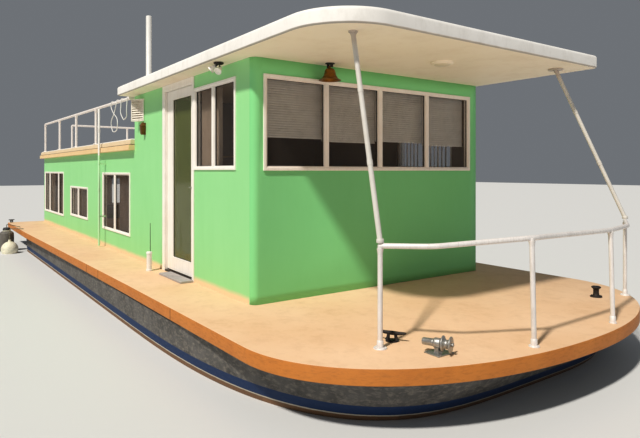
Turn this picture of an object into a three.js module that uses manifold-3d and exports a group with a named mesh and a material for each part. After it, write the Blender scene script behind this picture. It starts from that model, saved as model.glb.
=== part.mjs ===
// A houseboat on a flat-bottomed hull: millimetres, +X to the bow, +Y to port, +Z up.
// The origin is on the bottom of the hull, amidships.
import * as THREE from "three";
import Module from "manifold-3d";
import { mergeVertices } from "three/addons/utils/BufferGeometryUtils.js";

const wasm = await Module();
wasm.setup();

const gap = 0.3; // between solids that touch
const waterline = 400;
const hullAft = -4300;
const deckTop = 850;
const deckThick = 105;
const wall = 60; // thickness of every cabin wall
const house = { aft: -5893, step: 752, front: 4000, starboard: -1400, port: 1518 };
const tallTop = deckTop + 2137;
const lowTop = deckTop + 1430;
const cornerRadius = 60; // of the front wall's starboard corner
const lowRoof = { thick: 150, overhang: 80, lip: 22 };
const mainRoof = { aft: 710, front: 5430, starboard: -1610, port: 1560, thick: 120, radius: 500 };
const railTop = deckTop + 720; // bow rail
const roofRail = { radius: 21, forward: 2978, aft: 3045, end: -5620, across: -5600 };
const driveTilt = 50; // degrees that the stern drive is raised by

// Half breadths of the deck along X, up to where its round bow starts.
const deckSide = [[-6080, 2110], [-3600, 2110], [2400, 2008], [4900, 1986]];
const deckBow = { tip: 6190, power: 2.2 };
// The hull's levels from the bottom up; its sides run straight from the transom to the shoulder.
const hullLevels = [
  { z: 0, aft: hullAft + 60, shoulder: 1500, half: 1700, tip: 4700, power: 3 },
  { z: 150, aft: hullAft, shoulder: 1700, half: 1900, tip: 5250, power: 3.5 },
  { z: waterline, aft: hullAft, shoulder: 1800, half: 1970, tip: 5740, power: 4 },
  { z: deckTop - deckThick - gap, aft: hullAft, shoulder: 1800, half: 1990, tip: 5980, power: 4 },
];

// Windows. from and to run along Y on the front and aft walls and along X on the sides;
// sill and head are above the deck; bars are the centres of the upright bars.
const windows = [
  { name: "front", wall: "front", from: -1299, to: 1405, sill: 1157, head: 2000, bars: [-620, 46, 714] },
  { name: "aft", wall: "aft", from: -440, to: 560, sill: 330, head: 1010, bars: [60] },
  { name: "tall", wall: "side", from: 2750, to: 3690, sill: 1163, head: 2008, bars: [3206] },
  { name: "low1", wall: "side", from: -829, to: 573, sill: 264, head: 1132, bars: [-178] },
  { name: "low2", wall: "side", from: -3106, to: -1776, sill: 319, head: 875, bars: [-2488] },
  { name: "low3", wall: "side", from: -5754, to: -3736, sill: 256, head: 1136, bars: [-5177, -4254] },
];
const sash = { width: 34, bar: 46, proud: 14, depth: 34, glass: 6 };

// Along the side: jambs and stiles are widths, the aft one first; clear is the room round the leaf
// and swing the more that its free edge needs to turn.
const door = {
  from: 1826, to: 2728, jambs: [75, 28], lap: 20, clear: 5, swing: 2, foot: 30, head: 2060,
  thick: 38, stiles: [160, 74], proud: 12, lintel: 30,
};

const finishes = {
  green: { color: 0x8fdc8e, roughness: 0.75, metalness: 0 },
  white: { color: 0xf2efe9, roughness: 0.6, metalness: 0 },
  tan: { color: 0xecc998, roughness: 0.85, metalness: 0 },
  deck: { color: 0xefc9a0, roughness: 0.9, metalness: 0 },
  hull: { color: 0x6b6b63, roughness: 0.8, metalness: 0 },
  glass: { color: 0x5a5852, roughness: 0.08, metalness: 0 },
  grey: { color: 0xa9a3a0, roughness: 0.8, metalness: 0 },
  rail: { color: 0xc8c4c0, roughness: 0.55, metalness: 0.2 },
  chrome: { color: 0xcfd2d4, roughness: 0.15, metalness: 1 },
  iron: { color: 0x2c2c2c, roughness: 0.7, metalness: 0.4 },
  brass: { color: 0x8a5a2a, roughness: 0.45, metalness: 0.9 },
  black: { color: 0x1d1e20, roughness: 0.6, metalness: 0 },
};

const boat = new THREE.Group();
boat.name = "houseboat";

function solid(geometry) {
  geometry.deleteAttribute("normal");
  geometry.deleteAttribute("uv");
  const merged = mergeVertices(geometry, 1e-3);
  const vertProperties = new Float32Array(merged.attributes.position.array);
  const triVerts = new Uint32Array(merged.index.array);
  return new wasm.Manifold(new wasm.Mesh({ numProp: 3, vertProperties, triVerts }));
}

function add(name, shape, finish) {
  const mesh = shape.getMesh();
  const geometry = new THREE.BufferGeometry();
  geometry.setAttribute("position", new THREE.BufferAttribute(new Float32Array(mesh.vertProperties), 3));
  geometry.setIndex(new THREE.BufferAttribute(new Uint32Array(mesh.triVerts), 1));
  geometry.computeVertexNormals();
  const node = new THREE.Mesh(geometry, new THREE.MeshStandardMaterial(finishes[finish]));
  node.name = name;
  boat.add(node);
}

const fuse = (...shapes) => shapes.flat().reduce((a, b) => a.add(b));
const cut = (shape, ...tools) => tools.flat().reduce((a, b) => a.subtract(b), shape);

function box(x0, x1, y0, y1, z0, z1) {
  const shape = new THREE.BoxGeometry(x1 - x0, y1 - y0, z1 - z0);
  return solid(shape.translate((x0 + x1) / 2, (y0 + y1) / 2, (z0 + z1) / 2));
}

function prism(outline, z0, z1) {
  const shape = new THREE.Shape(outline.map(([x, y]) => new THREE.Vector2(x, y)));
  return solid(new THREE.ExtrudeGeometry(shape, { depth: z1 - z0, bevelEnabled: false }).translate(0, 0, z0));
}

function pipe(from, to, radius, sides = 12, endRadius = radius) {
  const a = new THREE.Vector3(...from);
  const along = new THREE.Vector3(...to).sub(a);
  const shape = new THREE.CylinderGeometry(endRadius, radius, along.length(), sides);
  shape.translate(0, along.length() / 2, 0);
  const upright = new THREE.Vector3(0, 1, 0);
  shape.applyQuaternion(new THREE.Quaternion().setFromUnitVectors(upright, along.normalize()));
  return solid(shape.translate(a.x, a.y, a.z));
}

function ball(at, radius, sides = 12) {
  return solid(new THREE.SphereGeometry(radius, sides, Math.round(sides * 0.66)).translate(...at));
}

function pipeRun(points, radius, sides = 12) {
  const runs = points.slice(1).map((p, i) => pipe(points[i], p, radius, sides));
  return fuse(runs, points.slice(1, -1).map((p) => ball(p, radius * 1.02, sides)));
}

// profile: [radius, height] pairs from the axis to the axis, turned about +Z at the given place
function turned(profile, at, sides = 24) {
  const shape = new THREE.LatheGeometry(profile.map(([r, h]) => new THREE.Vector2(r, h)), sides);
  return solid(shape.rotateX(Math.PI / 2).translate(...at));
}

// rings of [x, y, z] points, lowest first, each anticlockwise from above and of the same length
function loft(rings) {
  const n = rings[0].length;
  const index = [];
  for (let r = 0; r < rings.length - 1; r++)
    for (let i = 0; i < n; i++) {
      const [a, b] = [r * n + i, r * n + ((i + 1) % n)];
      index.push(a, b, b + n, a, b + n, a + n);
    }
  const top = (rings.length - 1) * n;
  for (let i = 1; i < n - 1; i++) index.push(0, i + 1, i, top, top + i, top + i + 1);
  const shape = new THREE.BufferGeometry();
  shape.setAttribute("position", new THREE.Float32BufferAttribute(rings.flat(2), 3));
  return solid(shape.setIndex(index));
}

// A plan outline, anticlockwise: the starboard side from the stern, a superellipse round the bow
// from the side's last point to the tip, and the same to port.
function planOutline(side, { tip, power }) {
  const [shoulder, half] = side.at(-1);
  const curve = [];
  const steps = 14;
  for (let i = 0; i <= steps; i++) {
    const t = (i / steps) * (Math.PI / 2);
    const [c, s] = [Math.max(0, Math.cos(t)), Math.sin(t)];
    curve.push([shoulder + (tip - shoulder) * s ** (2 / power), half * c ** (2 / power)]);
  }
  const port = [...side.slice(0, -1), ...curve.slice(0, -1)];
  const starboard = port.map(([x, y]) => [x, -y]);
  return [...starboard, [tip, 0], ...port.reverse()];
}

function makeHull() {
  const rings = hullLevels.map((level) => {
    const side = [[level.aft, level.half], [level.shoulder, level.half]];
    return planOutline(side, level).map(([x, y]) => [x, y, level.z]);
  });
  add("hull", loft(rings), "hull");
  add("deck", prism(planOutline(deckSide, deckBow), deckTop - deckThick, deckTop), "deck");
}

const windowsOf = (name) => windows.filter((w) => w.wall === name);

function makeWalls() {
  const foot = deckTop + gap;
  const { aft, step, front, starboard, port } = house;
  const r = cornerRadius;
  const corner = [0, 1, 2, 3, 4, 5, 6].map((i) => {
    const t = ((i * 15 - 90) * Math.PI) / 180;
    return [front - r + r * Math.cos(t), starboard + r + r * Math.sin(t)];
  });
  const inner = front - wall;
  const frontPlan = [
    ...corner, [front, port], [front - r, port],
    [front - r, port - wall], [inner, port - wall], [inner, starboard + wall], [front - r, starboard + wall],
  ];
  const frontHoles = windowsOf("front").map((w) =>
    box(inner - 10, front + 10, w.from, w.to, deckTop + w.sill, deckTop + w.head));
  add("wall_front", cut(prism(frontPlan, foot, tallTop), frontHoles), "green");

  for (const [side, outer, sign] of [["starboard", starboard, 1], ["port", port, -1]]) {
    const [y0, y1] = [Math.min(outer, outer + sign * wall), Math.max(outer, outer + sign * wall)];
    const hole = (w) => box(w.from, w.to, y0 - 10, y1 + 10, deckTop + w.sill, deckTop + w.head);
    const tall = box(step, front - r - gap, y0, y1, foot, tallTop);
    const low = box(aft + wall + gap, step - gap, y0, y1, foot, lowTop);
    const doorway = box(door.from, door.to, y0 - 10, y1 + 10, 0, tallTop - door.lintel);
    const [slider, ...lowWindows] = windowsOf("side");
    const tallHoles = side === "starboard" ? [hole(slider), doorway] : [hole(slider)];
    add("wall_tall_" + side, cut(tall, tallHoles), "green");
    add("wall_low_" + side, cut(low, lowWindows.map(hole)), "green");
  }
  const between = [starboard + wall + gap, port - wall - gap];
  const passage = box(step - 10, step + wall + 10, -350, 350, 0, lowTop - 60);
  add("bulkhead", cut(box(step, step + wall, ...between, foot, tallTop), passage), "green");
  const aftHoles = windowsOf("aft").map((w) =>
    box(aft - 10, aft + wall + 10, w.from, w.to, deckTop + w.sill, deckTop + w.head));
  add("wall_aft", cut(box(aft, aft + wall, starboard, port, foot, lowTop), aftHoles), "green");
}

function makeRoofs() {
  const { aft, front, starboard, port, thick, radius } = mainRoof;
  const corner = [];
  for (let i = 0; i <= 8; i++) {
    const t = ((-90 + i * 11.25) * Math.PI) / 180;
    corner.push([front - radius + radius * Math.cos(t), starboard + radius + radius * Math.sin(t)]);
  }
  const plan = [[aft, starboard], ...corner, [front, port], [aft, port]];
  add("roof_main", prism(plan, tallTop + gap, tallTop + gap + thick), "white");
  const o = lowRoof.overhang;
  const z0 = lowTop + gap;
  const [aftEdge, starboardEdge, portEdge] = [house.aft - o, house.starboard - o, house.port + o];
  const slab = (inset, from, to) =>
    box(aftEdge + inset, house.step - gap, starboardEdge + inset, portEdge - inset, from, to);
  add("roof_low", fuse(slab(0, z0, z0 + 70), slab(lowRoof.lip, z0 + 69, z0 + lowRoof.thick)), "tan");
}

// A frame with its bars and, behind the bars, one sheet of glass; place() turns the wall's
// own measures (along, inward, up) into a solid in the boat's frame.
function makeWindow(name, w, place) {
  const [z0, z1] = [deckTop + w.sill + gap, deckTop + w.head - gap];
  const [a0, a1] = [w.from + gap, w.to - gap];
  const s = sash.width;
  const ring = cut(
    place(a0, a1, -sash.proud, wall - 12, z0, z1),
    place(a0 + s, a1 - s, -sash.proud - 5, wall, z0 + s, z1 - s),
  );
  const bars = w.bars.map((at) => {
    const [from, to] = [at - sash.bar / 2, at + sash.bar / 2];
    return place(from, to, -sash.proud + 4, sash.depth - sash.proud, z0 + s - 5, z1 - s + 5);
  });
  add("frame_" + name, fuse(ring, bars), "white");
  const g = sash.depth - sash.proud + gap;
  const pane = [s + gap, s + gap];
  add("glass_" + name, place(
    a0 + pane[0], a1 - pane[0], g, g + sash.glass, z0 + pane[1], z1 - pane[1]), "glass");
}

function makeWindows() {
  const { aft, front, starboard, port } = house;
  const places = {
    front: (a0, a1, d0, d1, z0, z1) => box(front - d1, front - d0, a0, a1, z0, z1),
    aft: (a0, a1, d0, d1, z0, z1) => box(aft + d0, aft + d1, a0, a1, z0, z1),
    starboard: (a0, a1, d0, d1, z0, z1) => box(a0, a1, starboard + d0, starboard + d1, z0, z1),
    port: (a0, a1, d0, d1, z0, z1) => box(a0, a1, port - d1, port - d0, z0, z1),
  };
  for (const w of windows) {
    const sides = w.wall === "side" ? ["starboard", "port"] : [w.wall];
    for (const side of sides)
      makeWindow(w.wall === "side" ? w.name + "_" + side : w.name, w, places[side]);
  }
}

function makeDoor() {
  const outer = house.starboard;
  const [x0, x1] = [door.from + gap, door.to - gap];
  const [foot, top] = [deckTop + gap, tallTop];
  const opening = [x0 + door.jambs[0], x1 - door.jambs[1]];
  const head = deckTop + door.head + door.clear;
  const casing = fuse(
    box(x0, x1 + door.lap, outer - door.proud, outer - gap, foot, top),
    box(x0, x1, outer - 1, outer + wall, foot, top - door.lintel - gap),
  );
  const frame = cut(casing, box(...opening, outer - 50, outer + wall + 50, foot - 10, head));
  add("door_frame", frame, "white");
  const [l0, l1] = [opening[0] + door.clear, opening[1] - door.clear - door.swing];
  const [y0, y1] = [outer + wall - door.thick, outer + wall];
  const [z0, z1] = [deckTop + door.foot, deckTop + door.head];
  const [aftStile, forwardStile] = door.stiles;
  const light = [l0 + aftStile, l1 - forwardStile, z0 + 140, z1 - 90];
  const leaf = cut(
    box(l0, l1, y0, y1, z0, z1),
    box(light[0], light[1], y0 - 10, y1 + 10, light[2], light[3]),
  );
  const handle = fuse(
    pipe([l1 - 36, y0 + 5, deckTop + 980], [l1 - 36, y0 - 8, deckTop + 980], 9),
    box(l1 - 116, l1 - 26, y0 - 16, y0 - 7, deckTop + 972, deckTop + 988),
    box(l1 - 53, l1 - 19, y0 - 4, y0 + 5, deckTop + 920, deckTop + 1060),
  );
  const hinges = [250, 1040, 1830].map((h) =>
    fuse(
      pipe([l0 - 2, y1 + 6, deckTop + h - 45], [l0 - 2, y1 + 6, deckTop + h + 45], 5),
      box(l0, l0 + 40, y1 - 2, y1 + 4, deckTop + h - 45, deckTop + h + 45),
    ));
  add("door_leaf", fuse(leaf, handle, hinges), "white");
  const pane = box(light[0] + gap, light[1] - gap, y0 + 16, y0 + 22, light[2] + gap, light[3] - gap);
  add("door_glass", pane, "glass");
  add("door_step", box(2110, 2745, outer - 150, outer - door.proud - gap, foot, deckTop + 22), "grey");
}

function makeBowRail() {
  const railRadius = 18;
  const z = railTop - railRadius;
  // the top rail's bends from starboard to port; it is highest at its starboard middle post
  const top = [
    [5500, -1280, z - 34], [5760, -1060, z - 28], [6074, -475, z + 17],
    [6045, 580, z], [5930, 1080, z - 4], [5650, 1612, z - 10],
  ];
  // where each post stands on the edge of the deck, and its point of the top rail
  const posts = [
    { foot: [5500, -1280], head: top[0] },
    { foot: [6062, -432], head: top[2] },
    { foot: [6072, 563], head: top[3] },
    { foot: [5650, 1612], head: top[5] },
  ];
  // the two middle posts lean, so every foot is cut level with the deck
  const below = box(5400, 6200, -1400, 1700, deckTop - 50, deckTop + gap);
  const [starboardEnd, starboardPost, portPost, portEnd] = posts.map(({ foot, head }) =>
    cut(pipe([...foot, deckTop - 5], head, 17), below));
  const corners = [top[0], top[5]].map((p) => ball(p, railRadius * 1.02));
  add("bow_rail", fuse(pipeRun(top, railRadius), corners, starboardEnd, portEnd), "rail");
  const room = pipeRun(top, railRadius + gap);
  add("bow_post_starboard", cut(starboardPost, room), "rail");
  add("bow_post_port", cut(portPost, room), "rail");
  const struts = [
    { name: "strut_starboard", foot: top[0], head: [5174, -1244], flange: 34 },
    { name: "strut_port", foot: top[5], head: [5159, 1273], flange: 70 },
  ];
  for (const { name, foot: [x, y, railZ], head, flange } of struts) {
    const collar = railZ + railRadius * 1.02;
    add(name, fuse(
      pipe([x, y, collar + 10], [...head, tallTop - 10], 18),
      pipe([x, y, collar + gap], [x, y, collar + 28], 25),
      pipe([...head, tallTop - 12], [...head, tallTop - gap / 3], flange, 16),
    ), "rail");
  }
}

function makeRoofRail() {
  const { radius, forward, aft, end, across } = roofRail;
  const foot = lowTop + gap + lowRoof.thick + gap;
  const front = mainRoof.aft - gap;
  const height = (x) => forward + ((aft - forward) * (front - x)) / (front - end);
  const post = (x, y) => [
    pipe([x, y, foot], [x, y, height(x)], radius, 10),
    pipe([x, y, foot], [x, y, foot + 8], 45, 12),
  ];
  const [s, p] = [house.starboard - 20, house.port + 20];
  const plate = (y) => pipe([front - 6, y, forward], [front, y, forward], 42, 12);
  const along = [-4040, -2570, -1174];
  add("roof_rail_starboard", fuse(
    pipe([end, s, aft], [front, s, forward], radius, 10),
    plate(s), post(end, s), ball([end, s, aft], radius * 1.02, 10),
    along.flatMap((x) => post(x, s)),
  ), "white");
  const gate = -868; // where the rail across the aft end stops beside the ladder
  add("roof_rail_port", fuse(
    pipeRun([[front, p, forward], [across, p, aft], [across, gate, aft]], radius, 10),
    plate(p), ball([across, gate, aft], radius * 1.02, 10),
    along.flatMap((x) => post(x, p)),
    [p, 379, gate].flatMap((y) => post(across, y)),
  ), "white");
}

function makeLadder() {
  const [x, y0, y1, radius] = [-5998, -1340, -990, 18];
  const roofAft = house.aft - lowRoof.overhang;
  const top = lowTop + 120;
  const stile = (y) => [
    pipe([x, y, deckTop + gap], [x, y, top], radius, 10),
    pipe([x, y, deckTop + gap], [x, y, deckTop + 8], 34, 12),
    box(x, roofAft - gap, y - 12, y + 12, lowTop + 20, lowTop + 50),
  ];
  const rungs = [0, 1, 2, 3, 4].map((i) => {
    const z = deckTop + 270 + i * 265;
    return pipe([x, y0, z], [x, y1, z], 15, 10);
  });
  add("roof_ladder", fuse(stile(y0), stile(y1), rungs), "rail");
}

function makeWindlass() {
  const z = deckTop + gap;
  const drum = [5848, -1033, z + 70];
  const turn = (25 * Math.PI) / 180; // of the shaft from +X towards port
  const at = (k) => [drum[0] + k * Math.cos(turn), drum[1] + k * Math.sin(turn), drum[2]];
  const rod = (k0, k1, radius, sides = 20, endRadius = radius) =>
    pipe(at(k0), at(k1), radius, sides, endRadius);
  const [gx, gy] = at(-58);
  add("windlass_base", fuse(
    box(5725, 5850, -1110, -965, z, z + 8),
    box(gx - 16, gx + 16, gy - 16, gy + 16, z + 5, drum[2]),
    rod(-36, -82, 32),
    rod(-80, -160, 23),
    rod(-40, 44, 10, 12),
    rod(36, 44, 15, 6),
  ), "chrome");
  const flange = (side) => [
    rod(side * 30, side * 21, 48, 24, 51),
    rod(side * 22, side * 11, 51, 24, 27),
  ];
  const spool = fuse(rod(-12, 12, 27, 24), flange(1), flange(-1));
  add("windlass_drum", cut(spool, rod(-40, 40, 10.4, 12)), "chrome");
}

function makeDeckFittings() {
  const z = deckTop + gap;
  const cleat = (x, y, degrees, reach) => {
    const turn = (degrees * Math.PI) / 180;
    const along = (k, h) => [x + Math.cos(turn) * k, y + Math.sin(turn) * k, z + h];
    const leg = (k) => pipe(along(k, 4), along(k, 55), 12);
    const foot = pipe([x, y, z], [x, y, z + 8], reach * 0.45, 16);
    const horn = (k) => pipe(along(0, 55), along(k, 62), 14, 12, 8);
    return fuse(foot, leg(reach * 0.27), leg(-reach * 0.27), horn(reach), horn(-reach));
  };
  add("cleat_bow", cleat(5425, -1106, 30, 100), "iron");
  add("cleat_stern", cleat(-6018, -2045, 90, 58), "iron");
  const [bx, by] = [5530, 1325];
  add("bitt_bow", fuse(
    pipe([bx, by, z], [bx, by, z + 10], 52, 20),
    pipe([bx, by, z + 8], [bx, by, z + 84], 25, 16, 23),
    pipe([bx, by, z + 78], [bx, by, z + 88], 30, 20, 42),
    pipe([bx, by, z + 87], [bx, by, z + 98], 42, 20, 36),
  ), "iron");
}

function makeBell() {
  const [x, y] = [4126, -673];
  const pivot = tallTop - 30;
  const cheek = (k) => box(x + k, x + k + 8, y - 14, y + 14, pivot - 10, tallTop - 5);
  add("bell_bracket", fuse(
    pipe([x, y, tallTop - 7], [x, y, tallTop - gap / 3], 44, 20), cheek(22), cheek(-30)), "iron");
  // outer skin from the crown to the lip, then back up inside
  const profile = [
    [0, 8], [11, 8], [11, -14], [32, -20], [46, -36], [52, -62], [62, -90], [80, -112], [102, -124],
    [97, -128], [74, -117], [54, -90], [45, -62], [38, -40], [26, -29], [0, -27],
  ];
  const cup = turned(profile.reverse(), [x, y, pivot]);
  add("bell", fuse(cup, pipe([x - 21, y, pivot], [x + 21, y, pivot], 6)), "brass");
}

// A louvred hood in the shape of a wedge: its slats face forward and outward.
function makeVent() {
  const [z0, z1] = [deckTop + 1790, deckTop + 2070];
  const y = house.starboard - gap;
  const [hinge, tip, back] = [[1150, y], [948, y - 107], [925, y]];
  const shell = prism([tip, [hinge[0], y - 12], hinge, back], z0, z1);
  const hollow = prism([[tip[0] + 30, tip[1] - 30], [hinge[0] + 10, y - 40], [hinge[0] - 30, y - 16],
    [back[0] + 30, y - 16], [tip[0] + 8, tip[1] + 12]], z0 + 12, z1 - 12);
  const slats = [0, 1, 2, 3, 4, 5, 6].map((i) => {
    const h = z0 + 24 + i * 35;
    return prism([tip, [hinge[0], y - 12], [hinge[0], y - 2], [tip[0] - 5, tip[1] + 12]], h, h + 14);
  });
  add("vent_box", fuse(cut(shell, hollow), slats), "white");
}

function makePipes() {
  const [cx, cy] = [-667, house.starboard - lowRoof.overhang - 20];
  const clips = [1300, 2100].map((h) => box(cx - 12, cx + 12, cy, house.starboard - gap, h, h + 25));
  add("conduit", fuse(pipe([cx, cy, deckTop + 20], [cx, cy, 2945], 16), clips), "white");
  const [vx, vy, foot] = [1320, -1400, tallTop + mainRoof.thick + 2 * gap];
  add("vent_stack", fuse(
    pipe([vx, vy, foot], [vx, vy, deckTop + 3080], 35, 20),
    pipe([vx, vy, foot], [vx, vy, foot + 40], 75, 20, 45),
  ), "white");
}

// Each fender hangs clear of the deck's edge on a rope that comes back over it.
function makeFenders() {
  const edge = deckSide[0][1];
  const rope = (x, y, from) =>
    pipeRun([[x, y, from], [x, y, deckTop + 24], [x, 60 - edge, deckTop + 12]], 9, 8);
  const [wx, wy, wz, r] = [-4190, -edge - 180, 480, 150];
  add("fender_white", fuse(
    ball([wx, wy, wz], r, 20), pipe([wx, wy, wz + r - 12], [wx, wy, wz + r + 34], 24), rope(wx, wy, wz + r),
  ), "white");
  const [gx, gy] = [-4620, -edge - 185];
  const barrel = [[0, 330], [70, 336], [116, 372], [130, 425], [130, 720], [114, 770], [72, 795], [68, 850],
    [50, 866], [0, 866]];
  add("fender_grey", fuse(
    turned(barrel, [gx, gy, 0], 20),
    pipeRun([[gx, gy, 858], [gx, gy, 935], [gx, 60 - edge, deckTop + 12]], 9, 8)), "grey");
}

// The stern drive, stored tilted up clear of the bottom. Its leg is drawn hanging straight
// down from the tilt pin and then turned up.
function makeDrive() {
  const steer = hullAft - 80;
  const pin = [hullAft - 210, 380];
  const lug = (z) => box(steer - 30, hullAft - 5, -45, 45, z, z + 40);
  const plate = box(hullAft - 14, hullAft - gap, -150, 150, 170, 640);
  add("drive_mount", fuse(plate, lug(200), lug(560)), "black");
  const cheek = (y) => box(pin[0] - 35, hullAft - 140, y, y + 24, pin[1] - 40, pin[1] + 40);
  add("drive_swivel", fuse(
    pipe([steer, 0, 246], [steer, 0, 554], 32, 20),
    box(hullAft - 158, steer - 10, -109, 109, pin[1] - 40, pin[1] + 40),
    cheek(85), cheek(-109),
    pipe([pin[0], -100, pin[1]], [pin[0], 100, pin[1]], 14),
  ), "black");

  const place = new THREE.Matrix4().makeTranslation(pin[0], 0, pin[1]);
  place.multiply(new THREE.Matrix4().makeRotationY((driveTilt * Math.PI) / 180));
  const raised = (shape) => shape.transform(place.elements);
  const shaft = -520;
  const leg = fuse(
    pipe([0, -78, 0], [0, 78, 0], 45, 20),
    box(-200, -20, -70, 70, -42, 60),
    box(-190, -80, -40, 40, shaft, -30),
    pipe([-40, 0, shaft], [-300, 0, shaft], 50, 20),
    pipe([-40, 0, shaft], [10, 0, shaft], 50, 20, 16),
    box(-190, -100, -7, 7, shaft - 160, shaft),
    box(-270, -60, -95, 95, -345, -335),
  );
  const bores = [
    pipe([0, -90, 0], [0, 90, 0], 16),
    pipe([-270, 0, shaft], [-310, 0, shaft], 13),
  ];
  add("drive_leg", raised(cut(leg, bores)), "black");
  const hub = fuse(
    pipe([-306, 0, shaft], [-400, 0, shaft], 46, 20, 32), pipe([-275, 0, shaft], [-320, 0, shaft], 11));
  const blades = [0, 120, 240].map((turn) =>
    box(-6, 6, -52, 52, 25, 170).rotate([0, 0, 32]).rotate([turn, 0, 0]).translate([-352, 0, shaft]));
  add("propeller", raised(fuse(hub, blades)), "iron");
}

makeHull();
makeWalls();
makeRoofs();
makeWindows();
makeDoor();
makeBowRail();
makeRoofRail();
makeLadder();
makeWindlass();
makeDeckFittings();
makeBell();
makeVent();
makePipes();
makeFenders();
makeDrive();

export default boat;
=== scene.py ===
import math
from functools import partial

import bmesh
import bpy
from mathutils import Matrix, Vector


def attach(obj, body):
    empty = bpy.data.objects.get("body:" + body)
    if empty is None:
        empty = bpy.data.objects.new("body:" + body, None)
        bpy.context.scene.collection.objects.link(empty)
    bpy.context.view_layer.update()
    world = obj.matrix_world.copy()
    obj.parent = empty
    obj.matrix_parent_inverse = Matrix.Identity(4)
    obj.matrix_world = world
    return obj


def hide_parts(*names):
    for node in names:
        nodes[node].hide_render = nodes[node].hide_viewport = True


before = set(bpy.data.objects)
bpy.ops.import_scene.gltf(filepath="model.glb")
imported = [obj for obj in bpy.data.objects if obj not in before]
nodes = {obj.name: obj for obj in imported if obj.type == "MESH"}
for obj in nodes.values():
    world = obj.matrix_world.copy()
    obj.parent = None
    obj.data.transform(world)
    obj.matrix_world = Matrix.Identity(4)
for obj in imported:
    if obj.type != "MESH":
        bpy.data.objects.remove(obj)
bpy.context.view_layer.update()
scene = bpy.context.scene
print("frame loaded")

# levels and planes that many pieces share, in metres: +X bow, +Y port
levels = {"water": 0.40, "deck": 0.85, "lowTop": 2.28, "tallTop": 2.987}
faces = {"front": 4.0, "aft": -5.893, "starboard": -1.40, "port": 1.518}
gap = 0.0003    # left between pieces that touch
up = Vector((0, 0, 1))

camera = {"place": (8.248, -3.711, 2.007), "turn": 54.271, "lens": 31.563, "shift": (-0.0054, -0.0755)}


def makeCamera():
    data = bpy.data.cameras.new("camera")
    data.sensor_width = 36
    data.lens = camera["lens"]
    data.shift_x, data.shift_y = camera["shift"]
    eye = bpy.data.objects.new("camera", data)
    scene.collection.objects.link(eye)
    eye.location = camera["place"]
    eye.rotation_euler = (math.pi / 2, 0, math.radians(camera["turn"]))
    scene.camera = eye


makeCamera()


def toLinear(code):
    parts = [int(code[i:i + 2], 16) / 255 for i in (1, 3, 5)]
    return tuple(c / 12.92 if c <= 0.04045 else ((c + 0.055) / 1.055) ** 2.4 for c in parts) + (1,)


# kind is the node's type without its prefix, or a node that is there already
def addNode(tree, kind, inputs=None, **settings):
    node = kind
    if isinstance(kind, str):
        prefixes = ("ShaderNode", "GeometryNode", "FunctionNode", "")
        node = tree.nodes.new(next(p + kind for p in prefixes if hasattr(bpy.types, p + kind)))
    for key, value in settings.items():
        setattr(node, key, value)
    for key, value in (inputs or {}).items():
        for given in value if isinstance(value, list) else [value]:
            if isinstance(given, bpy.types.Node):
                given = given.outputs[0]
            if isinstance(given, bpy.types.NodeSocket):
                tree.links.new(given, node.inputs[key])
            else:
                node.inputs[key].default_value = given
    return node


# A weathered coat. Sizes are in mm: drift is how far apart the tone changes, streak how wide the runs
# of dirt are and fall how many times longer, grain and depth the roughness of the surface itself.
def coat(name, base, shade, soil, rough, drift, soiled, streak, fall, grain, depth, metallic=0.0, amount=0.6):
    material = bpy.data.materials.new(name)
    material.use_nodes = True
    add = partial(addNode, material.node_tree)
    where = add("TexCoord").outputs["Object"]
    wide = add("TexNoise", {"Vector": where, "Scale": 1000 / drift, "Detail": 5.0, "Roughness": 0.62})
    tone = add("MapRange", {"Value": wide, "From Min": 0.32, "From Max": 0.7, "To Max": amount})
    color = add("Mix", {0: tone, 6: toLinear(base), 7: toLinear(shade)}, data_type="RGBA").outputs[2]
    across = 1000 / streak
    stretched = add("Mapping", {"Vector": where, "Scale": (across, across, across / fall)})
    runs = add("TexNoise", {"Vector": stretched, "Scale": 1.0, "Detail": 6.0, "Roughness": 0.7})
    share = add("MapRange", {"Value": runs, "From Min": 0.48, "From Max": 0.78, "To Max": soiled})
    color = add("Mix", {0: share, 6: color, 7: toLinear(soil)}, data_type="RGBA").outputs[2]
    gloss = add("MapRange", {"Value": runs, "From Min": 0.3, "From Max": 0.75, "To Min": rough - 0.06,
                             "To Max": min(1.0, rough + 0.1)})
    skin = add("TexNoise", {"Vector": where, "Scale": 1000 / grain, "Detail": 3.0})
    relief = add("Bump", {"Height": skin, "Distance": depth / 1000, "Strength": 0.8})
    add(material.node_tree.nodes["Principled BSDF"], {
        "Base Color": color, "Roughness": gloss, "Normal": relief, "Metallic": metallic})
    return material


# the parts of a coat that a second colour is laid over
def openCoat(material):
    shader = material.node_tree.nodes["Principled BSDF"]
    add = partial(addNode, material.node_tree)
    where = add("TexCoord").outputs["Object"]
    return add, shader, shader.inputs["Base Color"].links[0].from_socket, where


def layOver(add, shader, share, under, code):
    mixed = add("Mix", {0: share, 6: under, 7: toLinear(code)}, data_type="RGBA")
    add(shader, {"Base Color": mixed.outputs[2]})


# Puts another colour over a coat between two heights, with an uneven edge.
def bandOver(material, low, high, code, waver=0.006, spacing=120, strength=1.0, soft=0.002):
    add, shader, under, where = openCoat(material)
    height = add("SeparateXYZ", {0: where}).outputs[2]
    noise = add("TexNoise", {"Vector": where, "Scale": 1000 / spacing, "Detail": 4.0})
    moved = add("MapRange", {"Value": noise, "To Min": -waver, "To Max": waver})
    level = add("Math", {0: height, 1: moved}, operation="ADD")
    above = add("MapRange", {"Value": level, "From Min": low - soft, "From Max": low + soft})
    below = add("MapRange", {"Value": level, "From Min": high - soft, "From Max": high + soft,
                             "To Min": strength, "To Max": 0.0})
    layOver(add, shader, add("Math", {0: above, 1: below}, operation="MULTIPLY"), under, code)


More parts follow.
